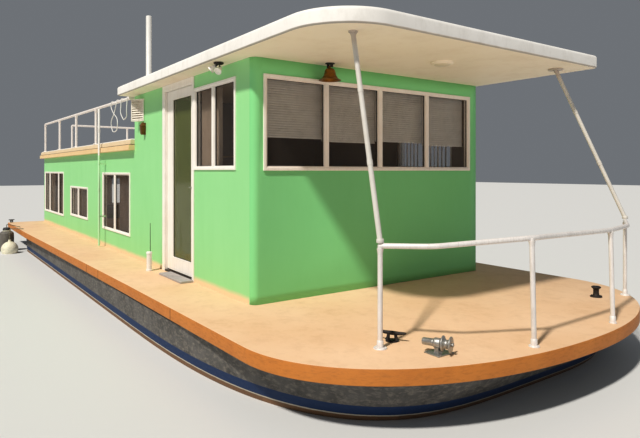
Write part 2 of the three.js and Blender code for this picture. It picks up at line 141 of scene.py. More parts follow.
# Turns the paint to lining board on faces that look into the cabins.
lining = {"color": "#8B7F72", "lowTop": 2.43, "tallFrom": 0.80,
          "inside": [(1, -1.352, "GREATER_THAN"), (1, 1.470, "LESS_THAN"), (0, -5.845, "GREATER_THAN"),
                     (0, 3.952, "LESS_THAN")]}


def lineInside(material):
    add, shader, under, where = openCoat(material)
    place = add("SeparateXYZ", {0: where}).outputs
    low = add("Math", {0: place[2], 1: lining["lowTop"]}, operation="LESS_THAN")
    fore = add("Math", {0: place[0], 1: lining["tallFrom"]}, operation="GREATER_THAN")
    inside = add("Math", {0: low, 1: fore}, operation="MAXIMUM")
    for axis, limit, test in lining["inside"]:
        side = add("Math", {0: place[axis], 1: limit}, operation=test)
        inside = add("Math", {0: inside, 1: side}, operation="MULTIPLY")
    layOver(add, shader, inside, under, lining["color"])


# columns as in coat
coats = [
    # exterior acrylic paint rolled on plywood, satin and slightly chalky; the front wall's copy is the same
    # paint made a deeper, bluer green as painted shade
    ("acrylicPaintGreen", "#A0E19C", "#92D88F", "#7CC878", 0.62, 1500, 0.1, 210, 5, 7, 0.5, 0.0, 0.5),
    ("acrylicPaintGreenFront", "#8DDD94", "#80D187", "#7CC878", 0.62, 1500, 0.1, 210, 5, 7, 0.5, 0.0, 0.5),
    # enamel on timber trim: a little yellowed, grey in its joints
    ("enamelWhite", "#FCF8F1", "#F3EBE0", "#B9AE9C", 0.42, 260, 0.25, 18, 10, 9, 0.25),
    # powder coat on extruded aluminium window frames, pinkish cream
    ("windowAluminiumCream", "#FBF3EA", "#F1E4D8", "#A89A8C", 0.4, 200, 0.22, 12, 10, 6, 0.12),
    # elastomeric roof coating: white, grey-brown grime run over the edge
    ("roofCoatingWhite", "#F8F5F0", "#EDE8DF", "#B4ACA0", 0.7, 700, 0.3, 130, 2, 16, 1.4, 0.0, 0.4),
    # painted plywood ceiling under the overhang: warm beige, drawn flat
    ("soffitPaintBeige", "#FBEFDC", "#F5E5CC", "#B99B74", 0.66, 1400, 0.2, 260, 1, 20, 0.4),
    # nonskid deck paint: sand in the coat, walked lighter and darker
    ("nonskidDeckPaint", "#E8C7A4", "#DCB48A", "#BE9870", 0.86, 750, 0.35, 130, 1, 5, 1.1),
    # painted timber fascia of the deck: orange-brown with scuffs from lines and fenders
    ("fasciaPaintBrown", "#C97F34", "#B26A28", "#8A562A", 0.58, 330, 0.55, 60, 0.25, 12, 0.8),
    # painted boards round the low roof: the upper paler than the lower
    ("fasciaPaintPale", "#EAD6B4", "#E0C69E", "#B58E5E", 0.66, 300, 0.2, 60, 0.4, 10, 0.5),
    ("fasciaPaintTan", "#F1D3A2", "#E6C08C", "#B58E5E", 0.66, 300, 0.3, 40, 0.4, 10, 0.5),
    # weathered hull paint over sheathed plywood: grey, with paler blotches and runs over it
    ("hullPaintGrey", "#6A6763", "#3B3A37", "#A0978A", 0.72, 160, 0.85, 52, 0.5, 22, 2.2, 0.0, 0.9),
    # galvanised steel tube painted silver grey, dull and scratched
    ("galvanisedPipe", "#EFEAE6", "#DAD4CF", "#9A8A7A", 0.5, 120, 0.4, 14, 8, 5, 0.25, 0.15),
    # white painted handrail tube
    ("railPaintWhite", "#F8F1EB", "#EADFD6", "#A98668", 0.48, 160, 0.4, 12, 8, 5, 0.2),
    # light grey paint on the strut tubes
    ("strutPaintGrey", "#DCD8D0", "#CCC6BC", "#B0A294", 0.5, 140, 0.2, 13, 9, 5, 0.25),
    # chromed bronze gone dull
    ("chromedBronze", "#B9B8B4", "#9A9892", "#6E675C", 0.45, 60, 0.4, 8, 10, 6, 0.1, 0.85),
    # cast iron gone black, rust in the hollows
    ("castIronBlack", "#2E2D2C", "#403C38", "#6B4A34", 0.62, 40, 0.4, 9, 10, 3, 0.35, 0.55),
    # bell brass with brown patina
    ("bellBrassPatina", "#9A6A2A", "#6E4A20", "#3F4A34", 0.38, 45, 0.4, 12, 10, 4, 0.2, 0.85),
    # rigid PVC: smooth, faintly blue-white; and the conduit's, which carries the wall's paint
    ("rigidPvcWhite", "#F1EFEA", "#DEDAD2", "#9C948A", 0.36, 180, 0.25, 14, 10, 8, 0.08),
    ("conduitPvcPainted", "#F1EFEA", "#DEDAD2", "#9C948A", 0.45, 180, 0.25, 14, 10, 8, 0.1),
    # stove enamel on the sheet-metal hood
    ("hoodEnamelWhite", "#FBF5EA", "#E8DECE", "#8B7B66", 0.4, 110, 0.45, 12, 10, 5, 0.12),
    # inflatable fender vinyl, foam fender rubber and its black cap
    ("fenderVinylCream", "#F6F1DA", "#DDD7BE", "#75705A", 0.5, 120, 0.5, 40, 1, 4, 0.25),
    ("fenderRubberGrey", "#77726A", "#5A5650", "#3A3833", 0.62, 110, 0.5, 30, 2, 4, 0.3),
    ("capRubberBlack", "#26262A", "#333236", "#6A6660", 0.6, 60, 0.3, 12, 10, 3, 0.2),
    # three-strand polyester rope, grey with age
    ("ropeFibreGrey", "#8C8574", "#6E6857", "#4C4838", 0.9, 30, 0.5, 6, 1, 2, 0.6),
    # marine paint on the drive's castings, and the propeller's bare bronze
    ("drivePaintBlack", "#2B2D30", "#1F2124", "#6D6A62", 0.42, 160, 0.35, 25, 10, 5, 0.15),
    ("castBronze", "#8A7348", "#6B5A3C", "#4D5A48", 0.4, 60, 0.4, 14, 10, 4, 0.15, 0.9),
    # painted board of the door's step
    ("stepBoardGrey", "#B8B2AE", "#9C9692", "#6A635C", 0.78, 160, 0.45, 40, 0.3, 5, 0.6),
    # black rubber of seals and joints
    ("gasketRubber", "#35322F", "#24221F", "#5A544C", 0.7, 80, 0.3, 10, 10, 4, 0.15),
    # enamelled aluminium slats, and woven vanes in two shades
    ("blindSlatGrey", "#F6F0E8", "#E6DED4", "#6C625B", 0.5, 200, 0.25, 80, 1, 10, 0.1),
    ("blindVaneBrown", "#C4AE98", "#A8937E", "#5C4F46", 0.75, 140, 0.3, 30, 12, 3, 0.3),
    ("blindVanePale", "#EDE5DB", "#D8CEC2", "#8F8478", 0.75, 140, 0.25, 30, 12, 3, 0.3),
    # opal lamp glass
    ("lampGlassOpal", "#E8DCC4", "#D8C8A8", "#A9987C", 0.3, 60, 0.2, 14, 10, 5, 0.05),
    # copper of the wall lantern, green in its corners
    ("lanternCopper", "#8A5A30", "#6A4526", "#3E4A38", 0.55, 40, 0.4, 10, 10, 3, 0.2, 0.7),
    # tinted float glass with a thin film of salt, clear enough to see the blinds; the door's is tinted olive as
    # a painted reflection of its surroundings
    ("windowGlass", "#4E4A46", "#5C5650", "#9A948C", 0.07, 500, 0.12, 60, 3, 900, 1.2),
    ("doorGlass", "#7C8448", "#6A7440", "#9A948C", 0.07, 500, 0.12, 60, 3, 900, 1.2),
]
(greenPaint, greenFront, whiteTrim, creamTrim, roofCoating, soffitPaint, deckPaint, fasciaPaint, tanPale,
 tanPaint, hullPaint, steelPipe, railPaint, strutPaint, chrome, blackIron, brass, pvc, conduitPvc, hoodEnamel,
 fenderVinyl, fenderRubber, capRubber, ropeFibre, drivePaint, propBronze, stepBoard, gasket, blindSlat,
 blindVane, blindPale, lampGlass, lanternCopper, windowGlass, doorGlass) = [coat(*row) for row in coats]

# tan coving painted up the foot of the walls
bandOver(greenPaint, 0.80, 0.905, "#EFD1AC", waver=0.014, spacing=260, strength=0.9, soft=0.022)
lineInside(greenPaint)
lineInside(greenFront)
# a darker band along the roof's lower lip
bandOver(roofCoating, 2.975, 2.998, "#8E8272", waver=0.004, spacing=150, strength=0.7, soft=0.004)
# weed, brown stain, a pale line and the blue line along the hull, and a painted shadow under the deck's
# overhang
bandOver(hullPaint, -0.05, 0.402, "#4A4A38", waver=0.012, spacing=90, strength=0.85)
bandOver(hullPaint, 0.400, 0.436, "#7C5C40", waver=0.008, spacing=140)
bandOver(hullPaint, 0.436, 0.445, "#C9C0AE", waver=0.004, spacing=70)
bandOver(hullPaint, 0.445, 0.515, "#11305A", waver=0.002, spacing=50)
# painted shadow under the overhang of the deck
bandOver(hullPaint, 0.722, 0.76, "#2A2A27", waver=0.006, spacing=90)
# rust coming through at the top of the struts, together with painted shade from the roof above them
bandOver(strutPaint, 2.9, 3.1, "#8A6448", waver=0.02, spacing=60, strength=0.4, soft=0.06)
# the wall's paint carried over the conduit
bandOver(conduitPvc, 0.8, 2.24, "#BFE9B8", waver=0.01, spacing=60)
# the door's glass is made more opaque so that its painted olive reflection shows
for glass, opaque in ((windowGlass, 0.13), (doorGlass, 0.42)):
    addNode(glass.node_tree, glass.node_tree.nodes["Principled BSDF"], {
        "Alpha": opaque, "IOR": 1.52, "Specular IOR Level": 0.9})
print("materials made")


# turns pairs in millimetres into metres
def mm(*pairs):
    return [(a / 1000, b / 1000) for a, b in pairs]


def turnsOf(steps):
    return [2 * math.pi * k / steps for k in range(steps)]


# joins rings of points, in order, with faces between them
def addRings(bm, rings, caps=True, slot=0):
    rows = [[bm.verts.new(p) for p in ring] for ring in rings]
    made = [ring for a, b in zip(rows, rows[1:]) for ring in zip(a, a[1:] + a[:1], b[1:] + b[:1], b)]
    for ring in made + ([rows[0][::-1], rows[-1]] if caps else []):
        bm.faces.new(ring).material_index = slot


def addPrism(bm, outline, z0, z1, slot=0):
    addRings(bm, [[(x, y, z) for x, y in outline] for z in (z0, z1)], slot=slot)


def addBox(bm, low, high, slot=0):
    (x0, y0, z0), (x1, y1, z1) = low, high
    addPrism(bm, [(x0, y0), (x1, y0), (x1, y1), (x0, y1)], z0, z1, slot)


def addTube(bm, path, radius, sides=20):
    points = [Vector(p) for p in path]
    radii = radius if isinstance(radius, list) else [radius] * len(points)
    side = None
    rings = []
    for i, point in enumerate(points):
        ahead = (points[min(i + 1, len(points) - 1)] - points[max(i - 1, 0)]).normalized()
        side = ahead.orthogonal() if side is None else side - ahead * side.dot(ahead)
        side.normalize()
        other = ahead.cross(side)
        rings.append([point + (side * math.cos(t) + other * math.sin(t)) * radii[i] for t in turnsOf(sides)])
    addRings(bm, rings)


# profile: (radius, height) pairs from one end of the axis to the other
def addTurned(bm, profile, place, steps=28, slot=0):
    rings = [[place @ Vector((r * math.cos(t), r * math.sin(t), h)) for t in turnsOf(steps)]
             for r, h in profile]
    addRings(bm, rings, caps=profile[0][0] > 1e-6, slot=slot)


# a turned shape standing at a point, or lying along a direction
def standing(x, y, z, toward=(0, 0, 1)):
    turn = up.rotation_difference(Vector(toward).normalized())
    return Matrix.Translation((x, y, z)) @ turn.to_matrix().to_4x4()


def turnedAt(place, degrees, axis):
    return Matrix.Translation(place) @ Matrix.Rotation(math.radians(degrees), 4, axis)


# columns of a turn from a shape's own axes to the boat's, then its place
def axesAt(x, y, z, origin):
    m = Matrix([x, y, z]).transposed().to_4x4()
    m.translation = origin
    return m


def roundedPath(points, radius, steps=6):
    points = [Vector(p) for p in points]
    path = [points[0]]
    for before, corner, after in zip(points, points[1:], points[2:]):
        reach = min(radius, (corner - before).length * 0.48, (after - corner).length * 0.48)
        a = corner + (before - corner).normalized() * reach
        b = corner + (after - corner).normalized() * reach
        for i in range(steps + 1):
            t = i / steps
            path.append(a.lerp(corner, t).lerp(corner.lerp(b, t), t))
    return path + [points[-1]]


# a smooth curve that passes through every point
def throughPoints(points, steps=8):
    p = [Vector(q) for q in points]
    p = [p[0] * 2 - p[1]] + p + [p[-1] * 2 - p[-2]]
    path = []
    for a, b, c, d in zip(p, p[1:], p[2:], p[3:]):
        for i in range(steps):
            t = i / steps
            path.append(0.5 * (2 * b + (c - a) * t + (2 * a - 5 * b + 4 * c - d) * t ** 2
                               + (3 * b - a - 3 * c + d) * t ** 3))
    return path + [p[-2]]


def toMesh(name, bm):
    mesh = bpy.data.meshes.new(name)
    bm.to_mesh(mesh)
    bm.free()
    return mesh


def showPiece(name, mesh, materials, body="boat", replaces=(), bevel=0, angle=38, segments=2):
    for material in materials:
        mesh.materials.append(material)
    mesh.shade_smooth()
    mesh.set_sharp_from_angle(angle=math.radians(angle))
    piece = bpy.data.objects.new(name, mesh)
    scene.collection.objects.link(piece)
    if bevel:
        edge = piece.modifiers.new("softEdge", "BEVEL")
        edge.width = bevel
        edge.segments = segments
        edge.limit_method = "ANGLE"
        edge.angle_limit = math.radians(angle)
        edge.use_clamp_overlap = True
    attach(piece, body)
    if replaces:
        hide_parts(*replaces)
    return piece


def putPiece(name, bm, *finish, **looks):
    bmesh.ops.remove_doubles(bm, verts=bm.verts, dist=1e-5)
    bmesh.ops.recalc_face_normals(bm, faces=bm.faces)
    return showPiece(name, toMesh(name, bm), *finish, **looks)


# gives a CAD solid that stays in view its material
def paintNode(name, material):
    slots = nodes[name].data.materials
    slots.clear()
    slots.append(material)


# hull and deck
hull = {
    "steps": 40,
    # height, stern, shoulder, half breadth, tip, power of the bow's curve
    "levels": [(0.0, -4.24, 1.5, 1.70, 4.70, 3.0), (0.15, -4.30, 1.7, 1.90, 5.25, 3.5),
               (0.40, -4.30, 1.8, 1.97, 5.74, 4.0), (0.7447, -4.30, 1.8, 1.99, 5.98, 4.0)],
    "deckSide": [(-6.08, 2.11), (-3.60, 2.11), (2.40, 2.008), (4.90, 1.986)],
    "deckTip": 6.190, "deckPower": 2.2, "deckLow": 0.745, "round": 0.012,
    # where the lengths of the fascia board meet
    "joints": [0.88, 1.40, 3.65],
}


def planOutline(side, tip, power):
    shoulder, half = side[-1]
    curve = []
    for i in range(hull["steps"] + 1):
        t = i / hull["steps"] * math.pi / 2
        c, s = max(0.0, math.cos(t)), math.sin(t)
        curve.append((shoulder + (tip - shoulder) * s ** (2 / power), half * c ** (2 / power)))
    port = side[:-1] + curve[:-1]
    return [(x, -y) for x, y in port] + [(tip, 0.0)] + port[::-1]


# moves an outline in by a distance, along the mean of its two edges' normals
def inset(outline, by):
    moved = []
    n = len(outline)
    for i in range(n):
        a, b, c = Vector(outline[i - 1]), Vector(outline[i]), Vector(outline[(i + 1) % n])
        first, second = (b - a).normalized(), (c - b).normalized()
        mean = Vector((-first.y, first.x)) + Vector((-second.y, second.x))
        mean *= 2 / max(mean.length_squared, 1e-9) * by
        moved.append((b.x + mean.x, b.y + mean.y))
    return moved


# the edge of a slab that follows a plan; steps: (distance in, height) pairs
def addEdge(bm, plan, steps, slot=0):
    addRings(bm, [[(x, y, z) for x, y in inset(plan, d)] for d, z in steps], caps=False, slot=slot)


def addFlat(bm, plan, by, z, slot, down=False):
    corners = [bm.verts.new((x, y, z)) for x, y in inset(plan, by)]
    bm.faces.new(corners[::-1] if down else corners).material_index = slot


def makeHull():
    bm = bmesh.new()
    rings = []
    for z, aft, shoulder, half, tip, power in hull["levels"]:
        outline = planOutline([(aft, half), (shoulder, half)], tip, power)
        rings.append([(x, y, z) for x, y in outline])
    addRings(bm, rings)
    putPiece("hullShell", bm, [hullPaint], replaces=["hull"], bevel=0.02, angle=32, segments=3)


def makeDeck():
    bm = bmesh.new()
    outline = planOutline(hull["deckSide"], hull["deckTip"], hull["deckPower"])
    r, low, top = hull["round"], hull["deckLow"], levels["deck"]
    nose = (r * 0.3, top - r * 0.3)
    addEdge(bm, outline, [(0.004, low), (0, low + 0.004), (0, top - r), nose], slot=1)
    addEdge(bm, outline, [nose, (r, top)])
    addFlat(bm, outline, r, top, 0)
    addFlat(bm, outline, 0.004, low, 2, down=True)
    putPiece("deckSlab", bm, [deckPaint, fasciaPaint, hullPaint], replaces=["deck"])


makeHull()
makeDeck()
print("hull and deck made")


# the front wall's outer skin follows its plan, with the window band left open
walls = {"thick": 0.06, "skin": 0.058, "foot": 0.8503, "coving": 0.93, "corner": 0.06,
         "window": (-1.299, 1.405, 2.007, 2.850),
         "plain": ["wall_tall_starboard", "wall_tall_port", "wall_low_starboard", "wall_low_port", "wall_aft",
                   "bulkhead"]}


def makeFrontWall():
    r, x, y = walls["corner"], faces["front"], faces["starboard"]
    y0, y1, z0, z1 = walls["window"]
    plan = [(x - r, y)]
    plan += [(x - r + r * math.cos(t), y + r + r * math.sin(t))
             for t in (math.radians(-90 + k * 7.5) for k in range(13))]
    # the band starts inside the rounded corner, so the plan is cut there too
    plan = [p for p in plan if p[1] < y0 - 0.004 or p[0] < x - 0.03] + [(x, y0), (x, y1), (x, faces["port"])]
    rows = [walls["foot"], walls["coving"], z0, z1, levels["tallTop"]]
    bm = bmesh.new()
    grid = [[bm.verts.new((px, py, z)) for px, py in plan] for z in rows]
    for j in range(len(rows) - 1):
        for i in range(len(plan) - 1):
            if rows[j] == z0 and abs(plan[i][1] - y0) < 1e-6:
                continue
            bm.faces.new((grid[j][i], grid[j][i + 1], grid[j + 1][i + 1], grid[j + 1][i]))
    # the front wall takes the deeper green copy of the paint, which is painted shade
    piece = showPiece("frontWall", toMesh("frontWall", bm), [greenFront], replaces=["wall_front"])
    skin = piece.modifiers.new("thickness", "SOLIDIFY")
    skin.thickness = walls["skin"]
    skin.offset = -1
    skin.use_even_offset = True


makeFrontWall()
for name in walls["plain"]:
    paintNode(name, greenPaint)
print("walls made")


# roofs
mainRoof = {"aft": 0.71, "front": 5.43, "starboard": -1.61, "port": 1.56, "low": 2.9873, "high": 3.1073,
            "edge": 0.03, "lip": 0.012,
            # radius and steps of the starboard and the port forward corner
            "corners": [(0.5, 24), (0.05, 6)]}
lowRoof = {"overhang": 0.08, "lip": 0.022, "low": 2.2803, "strip": 0.07, "seam": 0.078, "high": 2.4303,
           "coat": 0.014, "front": 0.7517}


def makeMainRoof():
    m, e, lip = mainRoof, mainRoof["edge"], mainRoof["lip"]
    plan = [(m["aft"], m["starboard"])]
    for (r, steps), y, start in zip(m["corners"], (m["starboard"] + m["corners"][0][0],
                                                   m["port"] - m["corners"][1][0]), (-90, 0)):
        for k in range(steps + 1):
            t = math.radians(start + k * 90 / steps)
            plan.append((m["front"] - r + r * math.cos(t), y + r * math.sin(t)))
    plan.append((m["aft"], m["port"]))
    profile = [(lip, m["low"]), (0, m["low"] + lip)]
    profile += [(e - e * math.cos(math.radians(t)), m["high"] - e + e * math.sin(math.radians(t)))
                for t in (0, 22, 45, 68, 90)]
    bm = bmesh.new()
    addEdge(bm, plan, profile)
    addFlat(bm, plan, e, m["high"], 0)
    addFlat(bm, plan, lip, m["low"], 1, down=True)
    putPiece("mainRoofShell", bm, [roofCoating, soffitPaint], replaces=["roof_main"], angle=30)


# two fascia boards, one set back over the other, with a dark seam between them and the coating on top
def makeLowRoof():
    v = lowRoof
    o, lip, low, high = v["overhang"], v["lip"], v["low"], v["high"]
    bm = bmesh.new()
    for inner, z0, z1, slot in (
            (0, low, low + v["strip"], 0),
            (lip - 0.002, low + v["strip"] + 0.0002, low + v["seam"], 2),
            (lip, low + v["seam"] + 0.0002, high - v["coat"], 3),
            (lip + 0.012, high - v["coat"] + 0.0001, high, 1)):
        addBox(bm, (faces["aft"] - o + inner, faces["starboard"] - o + inner, z0),
               (v["front"], faces["port"] + o - inner, z1), slot)
    putPiece("lowRoofBoards", bm, [tanPaint, roofCoating, gasket, tanPale], replaces=["roof_low"], bevel=0.004)


makeMainRoof()
makeLowRoof()
print("roofs made")


# windows, wall: which face one is in; span: along it; z: sill and head; bars: middles of its upright bars
windows = [
    {"node": "front", "wall": "front", "span": walls["window"][:2], "z": walls["window"][2:],
     "bars": [-0.62, 0.046, 0.714]},
    {"node": "aft", "wall": "aft", "span": (-0.44, 0.56), "z": (1.18, 1.86), "bars": [0.06]},
]
for label, span, z, bars in [
        ("tall", (2.750, 3.690), (2.013, 2.858), [3.206]), ("low1", (-0.829, 0.573), (1.114, 1.982), [-0.178]),
        ("low2", (-3.106, -1.776), (1.169, 1.725), [-2.488]),
        ("low3", (-5.754, -3.736), (1.106, 1.986), [-5.177, -4.254])]:
    for wall in ("starboard", "port"):
        windows.append({"node": label + "_" + wall, "wall": wall, "span": span, "z": z, "bars": bars})
# seat: how far in the sashes start; sunk: the inner side of sashes and bars; stagger: every other
# sash sits that much further in
frameCut = {"width": 0.034, "bar": 0.046, "proud": 0.014, "back": 0.048, "sash": 0.008, "seat": 0.032,
            "sunk": -0.0195, "stagger": -0.004}


def onWall(wall):
    sign = 1 if wall in ("front", "port") else -1
    if wall in ("front", "aft"):
        return lambda along, out, z: Vector((faces[wall] + sign * out, along, z))
    return lambda along, out, z: Vector((along, faces[wall] + sign * out, z))


# sweeps a profile of (distance in from the opening, distance out of the wall) round a rectangle
def addFrameRing(bm, put, a0, a1, z0, z1, profile, slot=0):
    rings = [[put(a1 - t if sx else a0 + t, d, z1 - t if sz else z0 + t) for t, d in profile]
             for sx, sz in ((0, 0), (1, 0), (1, 1), (0, 1), (0, 0))]
    addRings(bm, rings, caps=False, slot=slot)


def makeWindowFrame(w):
    put, c = onWall(w["wall"]), frameCut
    (a0, a1), (z0, z1) = w["span"], w["z"]
    a0, a1, z0, z1 = a0 + gap, a1 - gap, z0 + gap, z1 - gap
    width, proud, half, s, sunk = c["width"], c["proud"], c["bar"] / 2, c["sash"], c["sunk"]
    bm = bmesh.new()
    addFrameRing(bm, put, a0, a1, z0, z1, [
        (0, -c["back"]), (0, proud - 0.003), (0.003, proud), (width - 0.012, proud),
        (width - 0.006, proud - 0.004), (width - 0.004, 0.004), (width, 0.002), (width, -c["back"])])
    seat = c["seat"]
    edges = [a0 + seat] + w["bars"] + [a1 - seat]
    for k, (left, right) in enumerate(zip(edges, edges[1:])):
        left += half if k else 0
        right -= half if k < len(edges) - 2 else 0
        light = (put, left, right, z0 + seat, z1 - seat)
        depth = c["stagger"] if k % 2 else 0.0
        addFrameRing(bm, *light, [(0, sunk), (0, depth + 0.003), (0.003, depth + 0.006),
                                  (s - 0.003, depth + 0.006), (s, depth), (s, sunk)])
        addFrameRing(bm, *light, [(s - 0.001, sunk), (s - 0.001, -0.006), (s + 0.004, -0.011),
                                  (s + 0.004, sunk)], 1)
    for bar in w["bars"]:
        side = [(half, sunk), (half, 0.007), (half - 0.003, 0.010), (0.003, 0.010), (0.001, 0.007)]
        ring = [(bar - a, d) for a, d in side] + [(bar + a, d) for a, d in side[::-1]]
        addRings(bm, [[put(a, d, z) for a, d in ring] for z in (z0 + seat - 0.002, z1 - seat + 0.002)])
    finish = creamTrim if w["node"] == "front" else whiteTrim
    putPiece("windowFrame_" + w["node"], bm, [finish, gasket], replaces=["frame_" + w["node"]], angle=30)


for w in windows:
    makeWindowFrame(w)
    paintNode("glass_" + w["node"], windowGlass)
print("window frames made")


# things that repeat are grown by Geometry Nodes
socketKinds = {int: "NodeSocketInt", float: "NodeSocketFloat", tuple: "NodeSocketVector"}


# gives the tree, a function that adds nodes to it, and its inputs
def newTree(name, inputs, geometryIn=False):
    tree = bpy.data.node_groups.new(name, "GeometryNodeTree")
    if geometryIn:
        tree.interface.new_socket("Geometry", in_out="INPUT", socket_type="NodeSocketGeometry")
    for label, value in inputs.items():
        socket = tree.interface.new_socket(label, in_out="INPUT", socket_type=socketKinds[type(value)])
        socket.default_value = value
    tree.interface.new_socket("Finish", in_out="INPUT", socket_type="NodeSocketMaterial")
    tree.interface.new_socket("Geometry", in_out="OUTPUT", socket_type="NodeSocketGeometry")
    return tree, partial(addNode, tree), tree.nodes.new("NodeGroupInput").outputs


def endTree(tree, geometry, given):
    real = addNode(tree, "RealizeInstances", {0: geometry})
    painted = addNode(tree, "SetMaterial", {"Geometry": real, "Material": given["Finish"]})
    addNode(tree, "NodeGroupOutput", {0: painted})
    return tree


# Runs a tree once and keeps its result as a plain mesh, moved by each matrix.
def grow(name, tree, places, values, path=(), **looks):
    start = bpy.data.meshes.new(name + "Start")
    start.from_pydata([tuple(p) for p in path], [(i, i + 1) for i in range(len(path) - 1)], [])
    holder = bpy.data.objects.new(name + "Start", start)
    scene.collection.objects.link(holder)
    growth = holder.modifiers.new("growth", "NODES")
    growth.node_group = tree
    for item in tree.interface.items_tree:
        if item.in_out == "INPUT" and item.name in values:
            growth[item.identifier] = values[item.name]
    bpy.context.view_layer.update()
    graph = bpy.context.evaluated_depsgraph_get()
    grown = bpy.data.meshes.new_from_object(holder.evaluated_get(graph), depsgraph=graph)
    holder.modifiers.clear()
    bpy.data.objects.remove(holder)
    bm = bmesh.new()
    for place in places:
        copy = grown.copy()
        copy.transform(place)
        bm.from_mesh(copy)
        bpy.data.meshes.remove(copy)
    return showPiece(name, toMesh(name, bm), list(grown.materials), **looks)


# Crowned slats on a line, each turned about its own length, a little out of true.
def slatTree():
    tree, add, given = newTree("slatStack", {
        "Count": 10, "Step": (0, 0, -0.025), "Length": 0.6, "Depth": 0.025, "Thickness": 0.0012, "Crown": 0.003,
        "Tilt": 0.9, "Stray": 0.05, "Seed": 3})
    sheet = add("MeshGrid", {"Size X": given["Length"], "Size Y": given["Depth"],
                             "Vertices X": 2, "Vertices Y": 5})
    across = add("SeparateXYZ", {0: add("InputPosition")}).outputs[1]
    share = add("Math", {0: across, 1: given["Depth"]}, operation="DIVIDE")
    square = add("Math", {0: share, 1: share}, operation="MULTIPLY")
    drop = add("Math", {0: square, 1: -4.0, 2: 1.0}, operation="MULTIPLY_ADD")
    lift = add("Math", {0: drop, 1: given["Crown"]}, operation="MULTIPLY")
    crowned = add("SetPosition", {"Geometry": sheet, "Offset": add("CombineXYZ", {2: lift})})
    raised = add("ExtrudeMesh", {"Mesh": crowned, "Offset Scale": given["Thickness"], "Individual": False})
    both = add("JoinGeometry", {0: [raised, add("FlipFaces", {0: crowned})]})
    slat = add("MergeByDistance", {"Geometry": both, "Distance": 1e-5})
    line = add("MeshLine", {"Count": given["Count"], "Offset": given["Step"]})
    stray = add("RandomValue", {2: -1.0, 3: 1.0, "Seed": given["Seed"]}).outputs[1]
    angle = add("Math", {0: stray, 1: given["Stray"], 2: given["Tilt"]}, operation="MULTIPLY_ADD")
    turn = add("EulerToRotation", {0: add("CombineXYZ", {0: angle})})
    return endTree(tree, add("InstanceOnPoints", {"Points": line, "Instance": slat, "Rotation": turn}), given)


# Hexagon-headed bolts on a circle, lying in the XY plane and standing up along Z.
def boltTree():
    tree, add, given = newTree("boltRing", {"Count": 4, "Radius": 0.04, "Head": 0.006, "Height": 0.004})
    ring = add("MeshCircle", {"Vertices": given["Count"], "Radius": given["Radius"]})
    head = add("MeshCone", {"Vertices": 6, "Radius Top": given["Head"], "Radius Bottom": given["Head"],
                            "Depth": given["Height"]})
    washer = add("Math", {0: given["Head"], 1: 1.5}, operation="MULTIPLY")
    disc = add("MeshCylinder", {"Vertices": 14, "Radius": washer, "Depth": 0.0014})
    bolt = add("JoinGeometry", {0: [head, disc]})
    return endTree(tree, add("InstanceOnPoints", {"Points": ring, "Instance": bolt}), given)


# Low screw heads in a row along +X, facing +Z.
def screwTree():
    tree, add, given = newTree("screwRow", {"Count": 10, "Step": 0.3, "Head": 0.006})
    line = add("MeshLine", {"Count": given["Count"], "Offset": add("CombineXYZ", {0: given["Step"]})})
    top = add("Math", {0: given["Head"], 1: 0.6}, operation="MULTIPLY")
    head = add("MeshCone", {"Vertices": 10, "Radius Top": top, "Radius Bottom": given["Head"], "Depth": 0.002})
    return endTree(tree, add("InstanceOnPoints", {"Points": line, "Instance": head}), given)


# Three strands laid round a path.
def ropeTree():
    tree, add, given = newTree("laidRope", {"Strand": 0.005, "Lay": 0.06}, geometryIn=True)
    curve = add("MeshToCurve", {0: given["Geometry"]})
    even = add("ResampleCurve", {"Curve": curve, "Length": 0.006}, mode="LENGTH")
    along = add("SplineParameter").outputs["Length"]
    turns = add("Math", {0: along, 1: given["Lay"]}, operation="DIVIDE")
    tilt = add("Math", {0: turns, 1: 2 * math.pi}, operation="MULTIPLY")
    twisted = add("SetCurveTilt", {"Curve": even, "Tilt": tilt})
    spread = add("Math", {0: given["Strand"], 1: 0.95}, operation="MULTIPLY")
    centres = add("MeshCircle", {"Vertices": 3, "Radius": spread})
    strand = add("CurvePrimitiveCircle", {"Resolution": 8, "Radius": given["Strand"]})
    strands = add("RealizeInstances", {0: add("InstanceOnPoints", {"Points": centres, "Instance": strand})})
    rope = add("CurveToMesh", {"Curve": twisted, "Profile Curve": strands, "Fill Caps": True})
    return endTree(tree, rope, given)


# Two stiles with rungs between them, standing on the deck plane and running along +Y.
def ladderTree():
    tree, add, given = newTree("rungLadder", {
        "Width": 0.35, "Height": 1.55, "Rungs": 5, "First": 0.27, "Spacing": 0.265, "Tube": 0.018,
        "Rung": 0.015})
    across = add("CombineXYZ", {1: given["Width"]})
    top, first, step = [add("CombineXYZ", {2: given[label]}) for label in ("Height", "First", "Spacing")]
    feet = add("MeshLine", {"Count": 2, "Offset": across})
    spots = add("MeshLine", {"Count": given["Rungs"], "Start Location": first, "Offset": step})
    both = []
    for points, end, thick, sides in ((feet, top, "Tube", 18), (spots, across, "Rung", 16)):
        line = add("CurvePrimitiveLine", {"End": end})
        circle = add("CurvePrimitiveCircle", {"Resolution": sides, "Radius": given[thick]})
        bar = add("CurveToMesh", {"Curve": line, "Profile Curve": circle, "Fill Caps": True})
        both.append(add("InstanceOnPoints", {"Points": points, "Instance": bar}))
    return endTree(tree, add("JoinGeometry", {0: both}), given)


slatStack, boltRing, screwRow = slatTree(), boltTree(), screwTree()
laidRope, rungLadder = ropeTree(), ladderTree()


def addBolts(name, places, finish, radius, head, height, count=4):
    grow(name, boltRing, places, {
        "Count": count, "Radius": radius, "Head": head, "Height": height, "Finish": finish})


